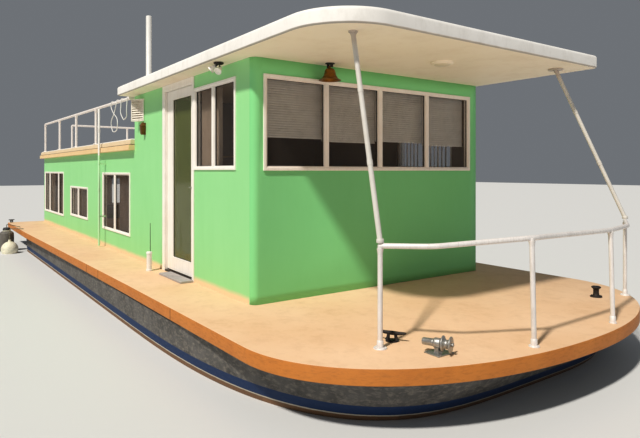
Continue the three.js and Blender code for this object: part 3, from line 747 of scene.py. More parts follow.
# blinds behind the glass, as rigid slats and vanes
blinds = {
    "slat": {"pitch": 0.022, "depth": 0.025, "tilt": 1.05, "slack": 0.006},
    "vane": {"pitch": 0.062, "depth": 0.078, "crown": 0.006, "stray": 0.12},
    "behind": 0.085, "edge": 0.03,
    # how far down the slats hang behind each front pane, as a share of it
    "slatDrops": [0.70, 0.72, 0.69, 0.71],
    # finish and tilt of the vanes, and the panes that have them
    "tones": {"pale": (blindPale, 0.56), "brown": (blindVane, 0.56), "drawn": (blindVane, -0.62)},
    "vanePanes": [
        ("tall_starboard", 0, "drawn"), ("low1_starboard", 1, "brown"), ("low2_starboard", 0, "pale"),
        ("low2_starboard", 1, "brown"), ("low3_starboard", 0, "pale"), ("low3_starboard", 2, "brown"),
        ("tall_port", 0, "pale"), ("tall_port", 1, "pale"), ("low1_port", 0, "brown"),
        ("low1_port", 1, "brown"), ("low2_port", 0, "pale"), ("low2_port", 1, "brown"),
        ("low3_port", 2, "brown"), ("low3_port", 0, "pale"), ("aft", 0, "brown")],
}


# the room of one pane: its ends, its heights, a function that gives points behind it, and the way in
def paneOf(node, index):
    w = next(w for w in windows if w["node"] == node)
    put, edge = onWall(w["wall"]), blinds["edge"]
    edges = [w["span"][0] + edge] + w["bars"] + [w["span"][1] - edge]
    behind = lambda along, z: put(along, -blinds["behind"], z)
    inward = (put(0, -1, 0) - put(0, 0, 0)).normalized()
    return edges[index], edges[index + 1], w["z"][0] + edge, w["z"][1] - edge, behind, inward


def hangBlinds():
    s, v = blinds["slat"], blinds["vane"]
    for index, drop in enumerate(blinds["slatDrops"]):
        a0, a1, z0, z1, behind, inward = paneOf("front", index)
        place = axesAt(inward.cross(up), inward, up, behind((a0 + a1) / 2, z1))
        grow("blindSlats_front%d" % index, slatStack, [place], {
            "Count": int((z1 - z0) * drop / s["pitch"]), "Step": (0, 0, -s["pitch"]), "Seed": index,
            "Length": a1 - a0 - s["slack"], "Depth": s["depth"], "Tilt": s["tilt"], "Finish": blindSlat})
    for node, index, tone in blinds["vanePanes"]:
        a0, a1, z0, z1, behind, inward = paneOf(node, index)
        run = up.cross(inward)
        count = int((a1 - a0) / v["pitch"])
        middle = behind((a0 + a1) / 2, (z0 + z1) / 2)
        finish, tilt = blinds["tones"][tone]
        place = axesAt(up, inward, run, middle - run * (v["pitch"] * (count - 1) / 2))
        grow("blindVanes_%s%d" % (node, index), slatStack, [place], {
            "Count": count, "Step": (0, 0, v["pitch"]), "Length": z1 - z0, "Depth": v["depth"],
            "Crown": v["crown"], "Tilt": tilt, "Stray": v["stray"], "Seed": index + 5, "Finish": finish})


hangBlinds()
print("blinds hung")


# door, from and to: the casing's edges; handle: how far in from the leaf's edge; heights are over the deck
door = {"from": 1.8263, "to": 2.7277, "jambs": (0.075, 0.028), "lap": 0.02, "clear": 0.005, "swing": 0.002,
        "foot": 0.03, "head": 2.06, "thick": 0.038, "stiles": (0.160, 0.074), "rails": (0.140, 0.09),
        "proud": 0.012, "hinges": [0.25, 1.04, 1.83], "handle": (0.036, 0.98), "lock": 1.10,
        "step": (2.11, 2.745, 0.15)}


def makeDoor():
    y, deck, top = faces["starboard"], levels["deck"], levels["tallTop"]
    x0, x1 = door["from"], door["to"]
    o0, o1 = x0 + door["jambs"][0], x1 - door["jambs"][1]
    head, foot, rim = deck + door["head"] + door["clear"], deck + gap, top - 0.001
    out, back, inner = y - door["proud"], y - gap, y + walls["thick"]
    bm = bmesh.new()
    addBox(bm, (x0, out, foot), (o0, back, rim))
    addBox(bm, (o1, out, foot), (x1 + door["lap"], back, rim))
    addBox(bm, (o0 + 0.0008, out, head), (o1 - 0.0008, back, rim))
    # the raised moulding of the head panel
    addBox(bm, (o0 + 0.02, out - 0.004, head + 0.012), (o1 - 0.02, out - 0.0002, head + 0.024))
    # lining of the opening, back to the inner face
    for a, b in ((x0 + 0.001, o0), (o1, x1 - 0.001)):
        addBox(bm, (a, y + gap, foot), (b, inner, head))
    addBox(bm, (x0 + 0.001, y + gap, head + gap), (x1 - 0.001, inner, top - 0.031))
    putPiece("doorCasing", bm, [whiteTrim], replaces=["door_frame"], bevel=0.0025)

    l0, l1 = o0 + door["clear"], o1 - door["clear"] - door["swing"]
    y0, z0, z1 = inner - door["thick"], deck + door["foot"], deck + door["head"]
    g0, g1 = l0 + door["stiles"][0], l1 - door["stiles"][1]
    h0, h1 = z0 + door["rails"][0], z1 - door["rails"][1]
    bm = bmesh.new()
    addBox(bm, (l0, y0, z0), (g0, inner, z1))
    addBox(bm, (g1, y0, z0), (l1, inner, z1))
    addBox(bm, (g0 + 0.0006, y0, z0), (g1 - 0.0006, inner, h0))
    addBox(bm, (g0 + 0.0006, y0, h1), (g1 - 0.0006, inner, z1))
    put = lambda along, out, z: Vector((along, y0 - out, z))
    addFrameRing(bm, put, g0, g1, h0, h1, mm((-1, -14), (-1, 2), (3, 4), (10, 2), (13, -6), (13, -14)))
    addFrameRing(bm, put, g0, g1, h0, h1, mm((12, -14), (12, -8), (17, -13), (17, -14.5)), 1)
    addBox(bm, (l0 + 0.004, y0 - 0.002, z0 - 0.008), (l1 - 0.004, y0 + 0.02, z0 + 0.001), 1)
    putPiece("doorLeaf", bm, [whiteTrim, gasket], "door", replaces=["door_leaf"], bevel=0.002)

    bm = bmesh.new()
    hx, hz = l1 - door["handle"][0], deck + door["handle"][1]
    toward = (0, -1, 0)
    addBox(bm, (hx - 0.017, y0 - 0.004, hz - 0.06), (hx + 0.017, y0 + 0.001, hz + 0.08))
    addTurned(bm, mm((0, -4), (13, -4), (13, 4), (9, 8), (9, 13), (0, 13)),
              standing(hx, y0 - 0.004, hz, toward), 24)
    lever = roundedPath([(hx, y0 - 0.009, hz), (hx - 0.03, y0 - 0.0125, hz),
                         (hx - 0.085, y0 - 0.011, hz - 0.004)], 0.02)
    addTube(bm, lever, [0.006] * (len(lever) - 1) + [0.004], 12)
    addTurned(bm, mm((0, 0), (11, 0), (11, 5), (8, 8), (0, 8)),
              standing(hx, y0 - 0.004, deck + door["lock"], toward), 24)
    putPiece("doorHandle", bm, [chrome], "door", bevel=0.0012)

    bm = bmesh.new()
    for h in door["hinges"]:
        low = deck + h - 0.045
        addBox(bm, (l0 + 0.001, inner - 0.001, low), (l0 + 0.04, inner + 0.004, low + 0.09))
        for k in range(3):
            addTurned(bm, mm((0, 0), (4.8, 0), (5, 1), (5, 28.5), (4.8, 29.5), (0, 29.5)),
                      standing(l0 - 0.002, inner + 0.006, low + k * 0.0302), 14)
    putPiece("doorHinges", bm, [chrome], "door")

    s0, s1, reach = door["step"]
    bm = bmesh.new()
    addBox(bm, (s0, y - reach, deck + 0.0005), (s1, out - gap, deck + 0.022))
    putPiece("doorStepBoard", bm, [stepBoard], replaces=["door_step"], bevel=0.004)
    bm = bmesh.new()
    addBox(bm, (o0 + 0.001, out + 0.004, deck + 0.0005), (o1 - 0.001, y + 0.016, deck + 0.018))
    putPiece("doorSill", bm, [gasket], bevel=0.003)
    paintNode("door_glass", doorGlass)


makeDoor()
print("door made")


# rails, struts and ladder
pipes = {
    "railRadius": 0.018, "strutRadius": 0.018, "roofRadius": 0.021,
    "bowRail": [(5.500, -1.280, 1.518), (5.760, -1.060, 1.524), (6.074, -0.475, 1.569), (6.045, 0.580, 1.552),
                (5.930, 1.080, 1.548), (5.650, 1.612, 1.542)],
    # foot, which point of the rail it carries, plate, bolts
    "bowPosts": [((5.500, -1.280), 0, 0.045, 4), ((6.062, -0.432), 2, 0.036, 3), ((6.072, 0.563), 3, 0.028, 3),
                 ((5.650, 1.612), 5, 0.042, 4)],
    "postRadius": 0.017,
    # point of the rail it stands on, head, plate
    "struts": [("strut_starboard", 0, (5.174, -1.244), 0.034), ("strut_port", 5, (5.159, 1.273), 0.070)],
    "strutJoints": (0.36, 0.71),
    "roofRail": {"forward": 2.978, "aft": 3.045, "front": 0.7097, "end": -5.62, "across": -5.60, "gate": -0.868,
                 "starboard": -1.42, "port": 1.538, "posts": [-4.04, -2.57, -1.174], "middle": 0.379,
                 "plate": 0.045, "stub": 0.12, "bend": 0.022},
    "ladder": {"x": -5.998, "from": -1.34, "to": -0.99, "tube": 0.018, "height": 1.55, "lug": 0.035},
}
onDeck = levels["deck"] + gap


def plateProfile(radius, thick, neck):
    return [(0, 0), (radius, 0), (radius, thick * 0.7), (radius - thick * 0.3, thick), (neck + 0.004, thick),
            (neck + 0.0015, thick + 0.004), (neck, thick + 0.010), (0, thick + 0.010)]


def makeBowRail():
    bm = bmesh.new()
    rail = roundedPath(pipes["bowRail"], 0.07)
    addTube(bm, rail, pipes["railRadius"])
    e, f = pipes["railRadius"] * 1.02, pipes["railRadius"] * 0.72
    for end in (rail[0], rail[-1]):
        addTurned(bm, [(0, -e), (f, -f), (e, 0), (f, f), (0, e)], standing(*end), 20)
    r = pipes["postRadius"]
    for (x, y), k, plate, count in pipes["bowPosts"]:
        head, foot = Vector(pipes["bowRail"][k]), Vector((x, y, onDeck))
        addTurned(bm, plateProfile(plate, 0.008, r), standing(*foot))
        addTube(bm, [foot + Vector((0, 0, 0.004)), head], r)
        # the saddle weld where the post meets the rail, and a set-screwed socket on the foot
        way = (head - foot).normalized()
        under = head - way * 0.052
        addTube(bm, [under, under + way * 0.02, under + way * 0.034], [r + 0.0006, r + 0.003, r + 0.006])
        addTube(bm, [foot + way * h for h in (0.008, 0.05, 0.054)], [r + 0.005, r + 0.005, r + 0.001])
    putPiece("bowRailPipe", bm, [steelPipe], angle=45,
             replaces=["bow_rail", "bow_post_starboard", "bow_post_port"])
    for i, ((x, y), k, plate, count) in enumerate(pipes["bowPosts"]):
        place = standing(x, y, levels["deck"] + 0.0095)
        addBolts("bowRailBolts%d" % i, [place], steelPipe, plate * 0.78, 0.0045, 0.005, count)


def makeStruts():
    r, top = pipes["strutRadius"], levels["tallTop"]
    for name, k, (hx, hy), f in pipes["struts"]:
        x, y, z = pipes["bowRail"][k]
        collar = z + pipes["railRadius"] * 1.02
        bm = bmesh.new()
        foot, head = Vector((x, y, collar + 0.01)), Vector((hx, hy, top - 0.010))
        way = (head - foot).normalized()
        addTube(bm, [foot, head], r)
        addTurned(bm, [(0, gap), (0.023, gap), (0.025, 0.003), (0.025, 0.024), (0.022, 0.028), (0, 0.028)],
                  standing(x, y, collar), 24)
        for share in pipes["strutJoints"]:
            mid = foot.lerp(head, share)
            addTube(bm, [mid + way * h for h in (-0.02, -0.018, 0.018, 0.02)], [r, r + 0.0022, r + 0.0022, r])
        addTurned(bm, [(0, 0), (f - 0.004, 0), (f, 0.003), (f, 0.0117), (0, 0.0117)],
                  standing(hx, hy, top - 0.012), 32)
        addTube(bm, [head - way * 0.03, head - way * 0.004], [r, r + 0.004])
        putPiece(name + "Pipe", bm, [strutPaint], replaces=[name], angle=45)
        addBolts(name + "Bolts", [standing(hx, hy, top - 0.0135, (0, 0, -1))], strutPaint, f * 0.3 + 0.0175,
                 0.0035, 0.005)


# height of the roof rail at a place along it
def railHeight(x):
    v = pipes["roofRail"]
    return v["forward"] + (v["aft"] - v["forward"]) * (v["front"] - x) / (v["front"] - v["end"])


def makeRoofRail():
    v, r, base = pipes["roofRail"], pipes["roofRadius"], lowRoof["high"] + gap
    front, end, across, gate, s, p = (v[k] for k in ("front", "end", "across", "gate", "starboard", "port"))
    high, aft = v["forward"], v["aft"]
    feet = []
    for side, run, posts in (
            ("Starboard", [(front, s, high), (end, s, aft), (end, s, aft - v["stub"])],
             [(x, s) for x in [end] + v["posts"]]),
            ("Port", [(front, p, high), (across, p, aft), (across, gate, aft), (across, gate, aft - v["stub"])],
             [(x, p) for x in v["posts"]] + [(across, y) for y in (p, v["middle"], gate)])):
        bm = bmesh.new()
        addTube(bm, roundedPath(run, v["bend"]), r, 16)
        addTurned(bm, [(0, 0), (0.042, 0), (0.042, 0.004), (0.039, 0.006), (r + 0.003, 0.006), (r, 0.012),
                       (0, 0.012)], standing(*run[0], (-1, 0, 0)), 24)
        for x, y in posts:
            top = railHeight(x)
            addTube(bm, [(x, y, base), (x, y, top - r * 0.3)], r, 16)
            addTurned(bm, plateProfile(v["plate"], 0.008, r), standing(x, y, base), 24)
            addTube(bm, [(x, y, top - h) for h in (0.06, 0.056, 0.02)], [r, r + 0.004, r + 0.004], 16)
            feet.append(standing(x, y, base + 0.0085))
        putPiece("roofRail%sPipe" % side, bm, [railPaint], replaces=["roof_rail_" + side.lower()], angle=45)
    addBolts("roofRailBolts", feet, railPaint, 0.034, 0.004, 0.004)


def makeLadder():
    v = pipes["ladder"]
    x, tube, wall, z = v["x"], v["tube"], faces["aft"] - lowRoof["overhang"], levels["lowTop"] + v["lug"]
    grow("roofLadder", rungLadder, [Matrix.Translation((x, v["from"], onDeck))], {
        "Width": v["to"] - v["from"], "Height": v["height"] - gap, "Finish": steelPipe},
        replaces=["roof_ladder"], angle=45)
    bm = bmesh.new()
    for y in (v["from"], v["to"]):
        addTurned(bm, plateProfile(0.034, 0.007, tube), standing(x, y, onDeck), 24)
        addTube(bm, [(x, y, z), (wall - gap, y, z)], 0.012, 14)
        addTube(bm, [(x, y, z - 0.016), (x, y, z + 0.016)], tube + 0.004, 18)
        addBox(bm, (wall - 0.006, y - 0.026, z - 0.028), (wall - gap, y + 0.026, z + 0.028))
    putPiece("roofLadderLugs", bm, [steelPipe], bevel=0.0015)


makeBowRail()
makeStruts()
makeRoofRail()
makeLadder()
print("rails made")


# deck fittings
fittings = {
    # name, place, degrees it is turned by, half length of the horn, whether the CAD has it
    "cleats": [("cleat_bow", (5.425, -1.106), 30, 0.100, True),
               ("cleat_stern", (-6.018, -2.045), 90, 0.058, True),
               ("portSternCleat", (-6.018, 2.045), 90, 0.058, False)],
    "bitt": (5.530, 1.325),
    "windlass": {"centre": (5.848, -1.033, 0.9203), "turn": 25, "plate": ((5.725, -1.110), (5.850, -0.965))},
    "bell": (4.126, -0.673, 2.957),
}


def makeCleats():
    z = onDeck
    for name, (x, y), degrees, reach, inCad in fittings["cleats"]:
        turn = math.radians(degrees)
        way = Vector((math.cos(turn), math.sin(turn), 0))
        at = lambda k, h: Vector((x, y, z + h)) + way * k * reach
        bm = bmesh.new()
        addTurned(bm, [(0, 0), (reach * 0.45, 0), (reach * 0.45, 0.005), (reach * 0.41, 0.008), (0, 0.009)],
                  standing(x, y, z))
        leg = [(0.34, 0.006), (0.29, 0.018), (0.26, 0.036), (0.25, 0.054)]
        for k in (-1, 1):
            addTube(bm, [at(k * share, h) for share, h in leg], [0.018, 0.013, 0.011, 0.012], 16)
        horn = [(-1, 0.062), (-0.9, 0.0605), (-0.5, 0.056), (0, 0.055), (0.5, 0.056), (0.9, 0.0605), (1, 0.062)]
        addTube(bm, [at(k, h) for k, h in horn], [0.004, 0.0085, 0.012, 0.0145, 0.012, 0.0085, 0.004], 16)
        putPiece(name + "Horn" if inCad else name, bm, [blackIron], replaces=[name] if inCad else (), angle=60)
        addBolts(name + "Bolts", [standing(x, y, z + 0.009)], blackIron, reach * 0.36, 0.005, 0.004)


def makeBitt():
    x, y = fittings["bitt"]
    bm = bmesh.new()
    addTurned(bm, mm((0, 0), (52, 0), (52, 6), (48, 10), (34, 12), (27, 20), (24.5, 40), (24.5, 66), (28, 76),
                     (38, 82), (42, 88), (41, 93), (34, 97), (14, 98), (0, 98)), standing(x, y, onDeck), 36)
    putPiece("bowBitt", bm, [blackIron], replaces=["bitt_bow"], angle=50)
    addBolts("bowBittBolts", [standing(x, y, levels["deck"] + 0.0115)], blackIron, 0.041, 0.0045, 0.004)


def squareRing(x, y, halfX, halfY, z):
    return [(x + a * halfX, y + b * halfY, z) for a, b in ((-1, -1), (1, -1), (1, 1), (-1, 1))]


def makeWindlass():
    w = fittings["windlass"]
    centre, turn, z = Vector(w["centre"]), math.radians(w["turn"]), onDeck
    way = Vector((math.cos(turn), math.sin(turn), 0))
    along = standing(*centre, way)
    bm = bmesh.new()
    addTurned(bm, mm((0, -160), (16, -160), (21, -157), (23, -152), (23, -96), (24.5, -94), (24.5, -88),
                     (23, -86), (27, -83), (31, -79), (32, -74), (32, -44), (30, -39), (24, -36), (11, -36),
                     (10, -34), (10, 36), (0, 36)), along, 36)
    addTurned(bm, mm((0, 36), (15, 36), (15, 43), (12, 44), (0, 44)), along, 6)
    under = centre - way * 0.058
    addRings(bm, [squareRing(under.x, under.y, half, half, h) for h, half in (
        (z + 0.005, 0.022), (z + 0.018, 0.017), (centre.z - 0.02, 0.016), (centre.z, 0.016))])
    (x0, y0), (x1, y1) = w["plate"]
    addBox(bm, (x0, y0, z), (x1, y1, z + 0.008))
    putPiece("windlassBase", bm, [chrome], replaces=["windlass_base"], bevel=0.0018, angle=44)
    # a bolt towards each corner of the plate
    place = turnedAt(((x0 + x1) / 2, (y0 + y1) / 2, z + 0.0095), 49, "Z")
    addBolts("windlassBolts", [place], chrome, 0.078, 0.005, 0.004)
    # one side of the drum, from its end to its waist, and the other side mirrored
    half = mm((10.4, -30), (47, -30), (50, -28), (51, -25), (49, -21), (40, -16.5), (31, -11.5), (27.5, -5))
    bm = bmesh.new()
    addTurned(bm, half + [(r, -h) for r, h in half[::-1]] + half[:1], along, 40)
    putPiece("windlassDrum", bm, [chrome], "windlass_drum", replaces=["windlass_drum"], angle=50)


def makeBell():
    x, y, pivot = fittings["bell"]
    top, place = levels["tallTop"], standing(*fittings["bell"])
    bm = bmesh.new()
    addTurned(bm, mm((0, 0), (42, 0), (44, 2), (44, 6.7), (0, 6.7)), standing(x, y, top - 0.007), 32)
    # a cheek on each side of the bell's eye, with a nut on the pin
    for k in (0.022, -0.030):
        addBox(bm, (x + k, y - 0.014, pivot - 0.010), (x + k + 0.008, y + 0.014, top - 0.005))
        addTurned(bm, mm((0, -3), (9, -3), (9, 11), (0, 11)), standing(x + k, y, pivot, (1, 0, 0)), 6)
    putPiece("bellBracket", bm, [blackIron], replaces=["bell_bracket"], bevel=0.0012)
    outer = throughPoints(mm((0, -14), (18, -14.8), (34, -21), (46, -36), (52, -62), (62, -90), (80, -112),
                             (102, -124)), 4)
    inner = throughPoints(mm((97, -128), (74, -117), (54, -90), (45, -62), (38, -40), (26, -29), (0, -27)), 4)
    bm = bmesh.new()
    addTurned(bm, [(abs(r), h) for r, h in outer + [(0.1025, -0.1265)] + inner], place, 48)
    addTurned(bm, mm((0, -14.5), (11, -14.5), (11, 6), (8, 8), (0, 8)), place, 24)
    addTube(bm, [(x - 0.021, y, pivot), (x + 0.021, y, pivot)], 0.006, 16)
    # raised beads round the shoulder and above the lip
    for r, h in ((0.0525, -0.062), (0.066, -0.0965)):
        ring = [(r + 0.0022 * math.cos(t), h + 0.0022 * math.sin(t)) for t in turnsOf(8)]
        addTurned(bm, ring + ring[:1], place, 48)
    # the clapper
    addTube(bm, [(x, y, pivot - 0.028), (x, y, pivot - 0.092)], 0.003, 10)
    addTurned(bm, mm((0, -112), (8, -109), (12, -100), (9, -91), (0, -88)), place, 20)
    putPiece("shipBell", bm, [brass], "bell", replaces=["bell"], angle=60)


makeCleats()
makeBitt()
makeWindlass()
makeBell()
print("deck fittings made")


# things on the walls and the roof
wallThings = {
    "vent": {"hinge": (1.150, -1.4003), "tip": (0.948, -1.5073), "back": (0.925, -1.4003), "z": (2.64, 2.92),
             "sheet": 0.012, "slats": 9, "pitch": 0.0295, "tilt": 0.75},
    "conduit": {"place": (-0.667, -1.50), "z": (0.87, 2.945), "radius": 0.016, "joints": [1.72, 2.62],
                "clips": [1.30, 2.10]},
    "stack": {"place": (1.32, -1.40), "radius": 0.035, "top": 3.93},
    "soffitLight": {"place": (4.76, 0.12), "radius": 0.10, "deep": 0.0245},
    "lantern": {"x": 1.18, "width": 0.066, "z": (2.44, 2.62)},
    "stub": {"place": (1.806, -1.558), "radius": 0.030, "high": 1.073, "rod": 1.40},
    # each head's place and lean
    "spot": {"at": (3.57, -1.515), "heads": [((3.494, -1.53, 2.950), -0.7), ((3.585, -1.515, 2.922), 0.5)]},
}


def makeVent():
    v = wallThings["vent"]
    (hx, hy), (tx, ty), (bx, by), (z0, z1), thick = v["hinge"], v["tip"], v["back"], v["z"], v["sheet"]
    bm = bmesh.new()
    cover = [(tx, ty), (hx, hy - 0.012), (hx, hy), (bx, by)]
    addPrism(bm, cover, z0, z0 + thick)
    addPrism(bm, cover, z1 - thick, z1)
    # the side that faces aft, the back plate, and the frame of the louvred face
    low, high = z0 + thick + 0.0002, z1 - thick - 0.0002
    addPrism(bm, [(bx, by), (tx, ty), (tx + 0.009, ty + 0.004), (bx + 0.010, by - 0.0006)], low, high)
    addPrism(bm, [(bx + 0.011, by - 0.008), (hx - 0.02, hy - 0.008), (hx - 0.02, hy), (bx + 0.011, by)],
             low, high)
    tip, face = Vector((tx, ty, 0)), Vector((hx - tx, hy - 0.012 - ty, 0))
    span, way = face.length, face.normalized()
    out = Vector((way.y, -way.x, 0))
    for a, b in ((0.0, 0.014), (span - 0.016, span)):
        p, q = tip + way * a, tip + way * b
        corners = (p, q, q - out * thick, p - out * thick)
        addPrism(bm, [tuple(w.xy) for w in corners], low + 0.0002, high - 0.0002)
    putPiece("ventHood", bm, [hoodEnamel], replaces=["vent_box"], bevel=0.002)
    middle = tip + way * (span / 2) - out * 0.010 + up * (z0 + 0.024)
    grow("ventLouvres", slatStack, [axesAt(way, -out, up, middle)], {
        "Count": v["slats"], "Step": (0, 0, v["pitch"]), "Length": span - 0.026, "Depth": 0.021,
        "Thickness": 0.0022, "Crown": 0.002, "Tilt": v["tilt"], "Stray": 0.02, "Finish": hoodEnamel})


def makePipes():
    c = wallThings["conduit"]
    (x, y), (low, high), r = c["place"], c["z"], c["radius"]
    bm = bmesh.new()
    addTube(bm, [(x, y, low), (x, y, high - 0.004), (x, y, high)], [r, r, r - 0.003])
    for h in c["joints"]:
        addTube(bm, [(x, y, h + d) for d in (-0.03, -0.028, 0.028, 0.03)], [r, r + 0.0025, r + 0.0025, r])
    for h in c["clips"]:
        addTube(bm, [(x, y, h), (x, y, h + 0.025)], r + 0.0015)
        addBox(bm, (x - 0.012, y + r, h + 0.001), (x + 0.012, faces["starboard"] - gap, h + 0.024))
    putPiece("conduitPipe", bm, [conduitPvc], replaces=["conduit"])
    s, foot = wallThings["stack"], mainRoof["high"] + gap
    r, top = s["radius"], s["top"] - foot
    bm = bmesh.new()
    flashing = mm((0, 0), (75, 0), (74, 4), (52, 26), (40, 40), (35, 46))
    addTurned(bm, flashing + [(r, top - 0.012), (r - 0.004, top - 0.003), (r - 0.012, top), (0, top)],
              standing(*s["place"], foot), 32)
    putPiece("ventStackPipe", bm, [pvc], replaces=["vent_stack"], angle=50)


def makeSmallLights():
    v, top = wallThings["soffitLight"], levels["tallTop"]
    r, low = v["radius"], top - v["deep"]
    bm = bmesh.new()
    addTurned(bm, [(0, 0.0), (r - 0.02, 0.0), (r - 0.004, 0.004), (r, 0.010), (r, 0.0243), (0, 0.0243)],
              standing(*v["place"], low + 0.0001), 40)
    addTurned(bm, mm((0, -14), (40, -12), (66, -6), (76, 0)), standing(*v["place"], low), 40, 1)
    putPiece("soffitLight", bm, [soffitPaint, lampGlass], angle=60)

    v = wallThings["lantern"]
    x, w, (z0, z1), y = v["x"], v["width"] / 2, v["z"], faces["starboard"]
    bm = bmesh.new()
    addBox(bm, (x - w * 0.8, y - 0.010, z0 + 0.02), (x + w * 0.8, y - gap, z1 - 0.01))
    addRings(bm, [squareRing(x, y - 0.036, w * s, 0.024 * s, z) for z, s in (
        (z0 + 0.020, 0.5), (z0 + 0.034, 0.78), (z1 - 0.050, 1.0), (z1 - 0.046, 1.12), (z1 - 0.020, 0.6),
        (z1 - 0.006, 0.2))])
    addTube(bm, [(x, y - 0.008, z1 - 0.03), (x, y - 0.02, z1 - 0.002), (x, y - 0.036, z1 - 0.008)], 0.004, 10)
    putPiece("wallLantern", bm, [lanternCopper], bevel=0.0015)

    # two heads on short arms under the ceiling
    v = wallThings["spot"]
    x, y = v["at"]
    bm = bmesh.new()
    addTurned(bm, mm((0, 0), (45, 0), (45, 12), (36, 18), (0, 18)), standing(x, y, top, (0, 0, -1)))
    for (hx, hy, hz), lean in v["heads"]:
        side = x + math.copysign(0.02, hx - x)
        addTube(bm, roundedPath([(side, y, top - 0.014), (side, y, hz + 0.02), (hx, hy, hz)], 0.012), 0.006, 12)
        addTurned(bm, mm((0, -34), (15, -32), (20, -22), (23, 0), (34, 30), (35, 36), (31, 37), (30, 31),
                         (0, 27)), standing(hx, hy, hz, (lean, -0.75, -0.75)), 28, 1)
    putPiece("twinSpotlight", bm, [blackIron, whiteTrim], angle=50)


def makeStub():
    v = wallThings["stub"]
    (x, y), r, top = v["place"], v["radius"], v["high"] - levels["deck"]
    bm = bmesh.new()
    addTurned(bm, [(0, 0), (r + 0.006, 0), (r + 0.006, 0.018), (r, 0.022), (r, top - 0.03),
                   (r + 0.004, top - 0.028), (r + 0.004, top - 0.006), (r - 0.002, top), (0, top)],
              standing(x, y, onDeck))
    putPiece("deckVentStub", bm, [pvc], angle=50)
    bm = bmesh.new()
    addTube(bm, [(x, y + 0.012, v["high"]), (x, y + 0.012, v["rod"])], [0.004, 0.003], 10)
    putPiece("deckVentRod", bm, [blackIron])


# Stiff plastic-covered wire, bent over the roof rail and hanging down in two loops.
wireLoops = {"radius": 0.006, "loops": [
    [(-0.20, 2.93), (-0.06, 2.835), (0.09, 2.75), (0.145, 2.66), (0.07, 2.58), (-0.06, 2.565), (-0.16, 2.62),
     (-0.17, 2.72), (-0.06, 2.82), (0.07, 2.93)],
    [(0.29, 2.92), (0.30, 2.81), (0.38, 2.725), (0.46, 2.705), (0.55, 2.74), (0.575, 2.82), (0.57, 2.92)]]}


def makeWireLoops():
    y, r = pipes["roofRail"]["starboard"], pipes["roofRadius"] + wireLoops["radius"] - 0.0005
    turns = (0.9, 0.0, -0.8, -1.57)
    over = lambda x: [(x, y + r * math.sin(t), railHeight(x) + r * math.cos(t)) for t in turns]
    bm = bmesh.new()
    for points in wireLoops["loops"]:
        path = over(points[0][0]) + [(x, y - r - 0.007 * (i % 2), z) for i, (x, z) in enumerate(points)]
        addTube(bm, throughPoints(path + over(points[-1][0])[::-1], 6), wireLoops["radius"], 10)
    putPiece("railWireLoops", bm, [pvc], angle=60)


makeVent()
makePipes()
makeSmallLights()
makeStub()
makeWireLoops()
print("wall things made")


# fenders, rope: where it starts and how high it hangs
fenders = {
    "white": {"place": (-4.19, -2.29), "rope": (0.63, 0.874), "finish": fenderVinyl, "cap": [],
              "profile": mm((0, 330), (45, 336), (98, 362), (136, 412), (150, 478), (140, 534), (110, 582),
                            (66, 615), (27, 630), (24, 660), (0, 664))},
    "grey": {"place": (-4.62, -2.295), "rope": (0.86, 0.935), "finish": fenderRubber,
             "cap": mm((0, 790), (74, 791), (76, 800), (70, 808), (67, 845), (52, 864), (0, 866)),
             "profile": mm((0, 330), (70, 336), (116, 372), (130, 425), (130, 480), (127, 484), (127, 492),
                           (130, 496), (130, 720), (114, 770), (70, 796), (0, 798))},
}
rope = {"edge": -2.05, "strand": 0.0042, "lay": 0.055}


def makeFenders():
    for key, v in fenders.items():
        (x, y), (low, high), place = v["place"], v["rope"], standing(*v["place"], 0)
        bm = bmesh.new()
        addTurned(bm, [p for p in throughPoints(v["profile"], 4) if p.x >= 0], place, 44)
        if v["cap"]:
            addTurned(bm, v["cap"], place, 36, 1)
            # a pale strap round the black cap, which also stands as a painted highlight on the cap
            addTurned(bm, mm((75.5, 796), (77.5, 799), (75.5, 806), (70, 809)), place, 36, 2)
        putPiece(key + "Fender", bm, [v["finish"], capRubber, fenderVinyl], angle=50,
                 replaces=["fender_" + key])
        path = roundedPath([(x, y, low), (x, y, high), (x, rope["edge"], levels["deck"] + 0.012)], 0.03)
        grow(key + "FenderRope", laidRope, [Matrix.Identity(4)], {
            "Strand": rope["strand"], "Lay": rope["lay"], "Finish": ropeFibre}, path, angle=60)


# drive: measures of the leg are from its tilt pin, hanging straight down, before it is turned up
drive = {"steer": -4.38, "pin": (-4.51, 0.38), "tilt": 50, "shaft": -0.52, "blades": 3, "hub": -0.352,
         # half height, half breadth and thickness of the plate on the transom, and its bolts
         "transom": -4.3003, "plate": (0.235, 0.15, 0.0137), "middle": 0.405, "bolts": (-4.3155, 0.40, 0.15),
         # heights of the lugs, their middle, half length, half breadth and thickness
         "lugs": (0.20, 0.56), "lug": (-4.3575, 0.0525, 0.045, 0.04),
         # where the yoke's cheeks start across the boat, their middle, half length, half height, thickness
         "cheeks": (0.109, -0.085), "cheek": (-4.4925, 0.0525, 0.04, 0.024),
         # height, middle, half length and half breadth of the leg's sections
         "leg": [(-0.035, -0.135, 0.055, 0.040), (-0.18, -0.135, 0.055, 0.034), (-0.33, -0.135, 0.054, 0.028),
                 (-0.46, -0.135, 0.056, 0.026), (-0.50, -0.140, 0.070, 0.034)],
         "cowl": [(-0.042, -0.11, 0.078, 0.058), (-0.034, -0.11, 0.088, 0.068), (0.036, -0.11, 0.090, 0.070),
                  (0.052, -0.11, 0.082, 0.062), (0.060, -0.11, 0.060, 0.042)],
         "fin": [(-0.100, -0.53), (-0.118, -0.60), (-0.145, -0.672), (-0.186, -0.680), (-0.190, -0.66),
                 (-0.184, -0.53)],
         # share of the blade's span, half chord, pitch angle, thickness
         "blade": [(0.0, 0.030, 46, 0.0060), (0.25, 0.044, 38, 0.0050), (0.55, 0.052, 32, 0.0036),
                   (0.8, 0.046, 28, 0.0026), (0.94, 0.030, 26, 0.0018), (1.0, 0.012, 25, 0.0010)]}


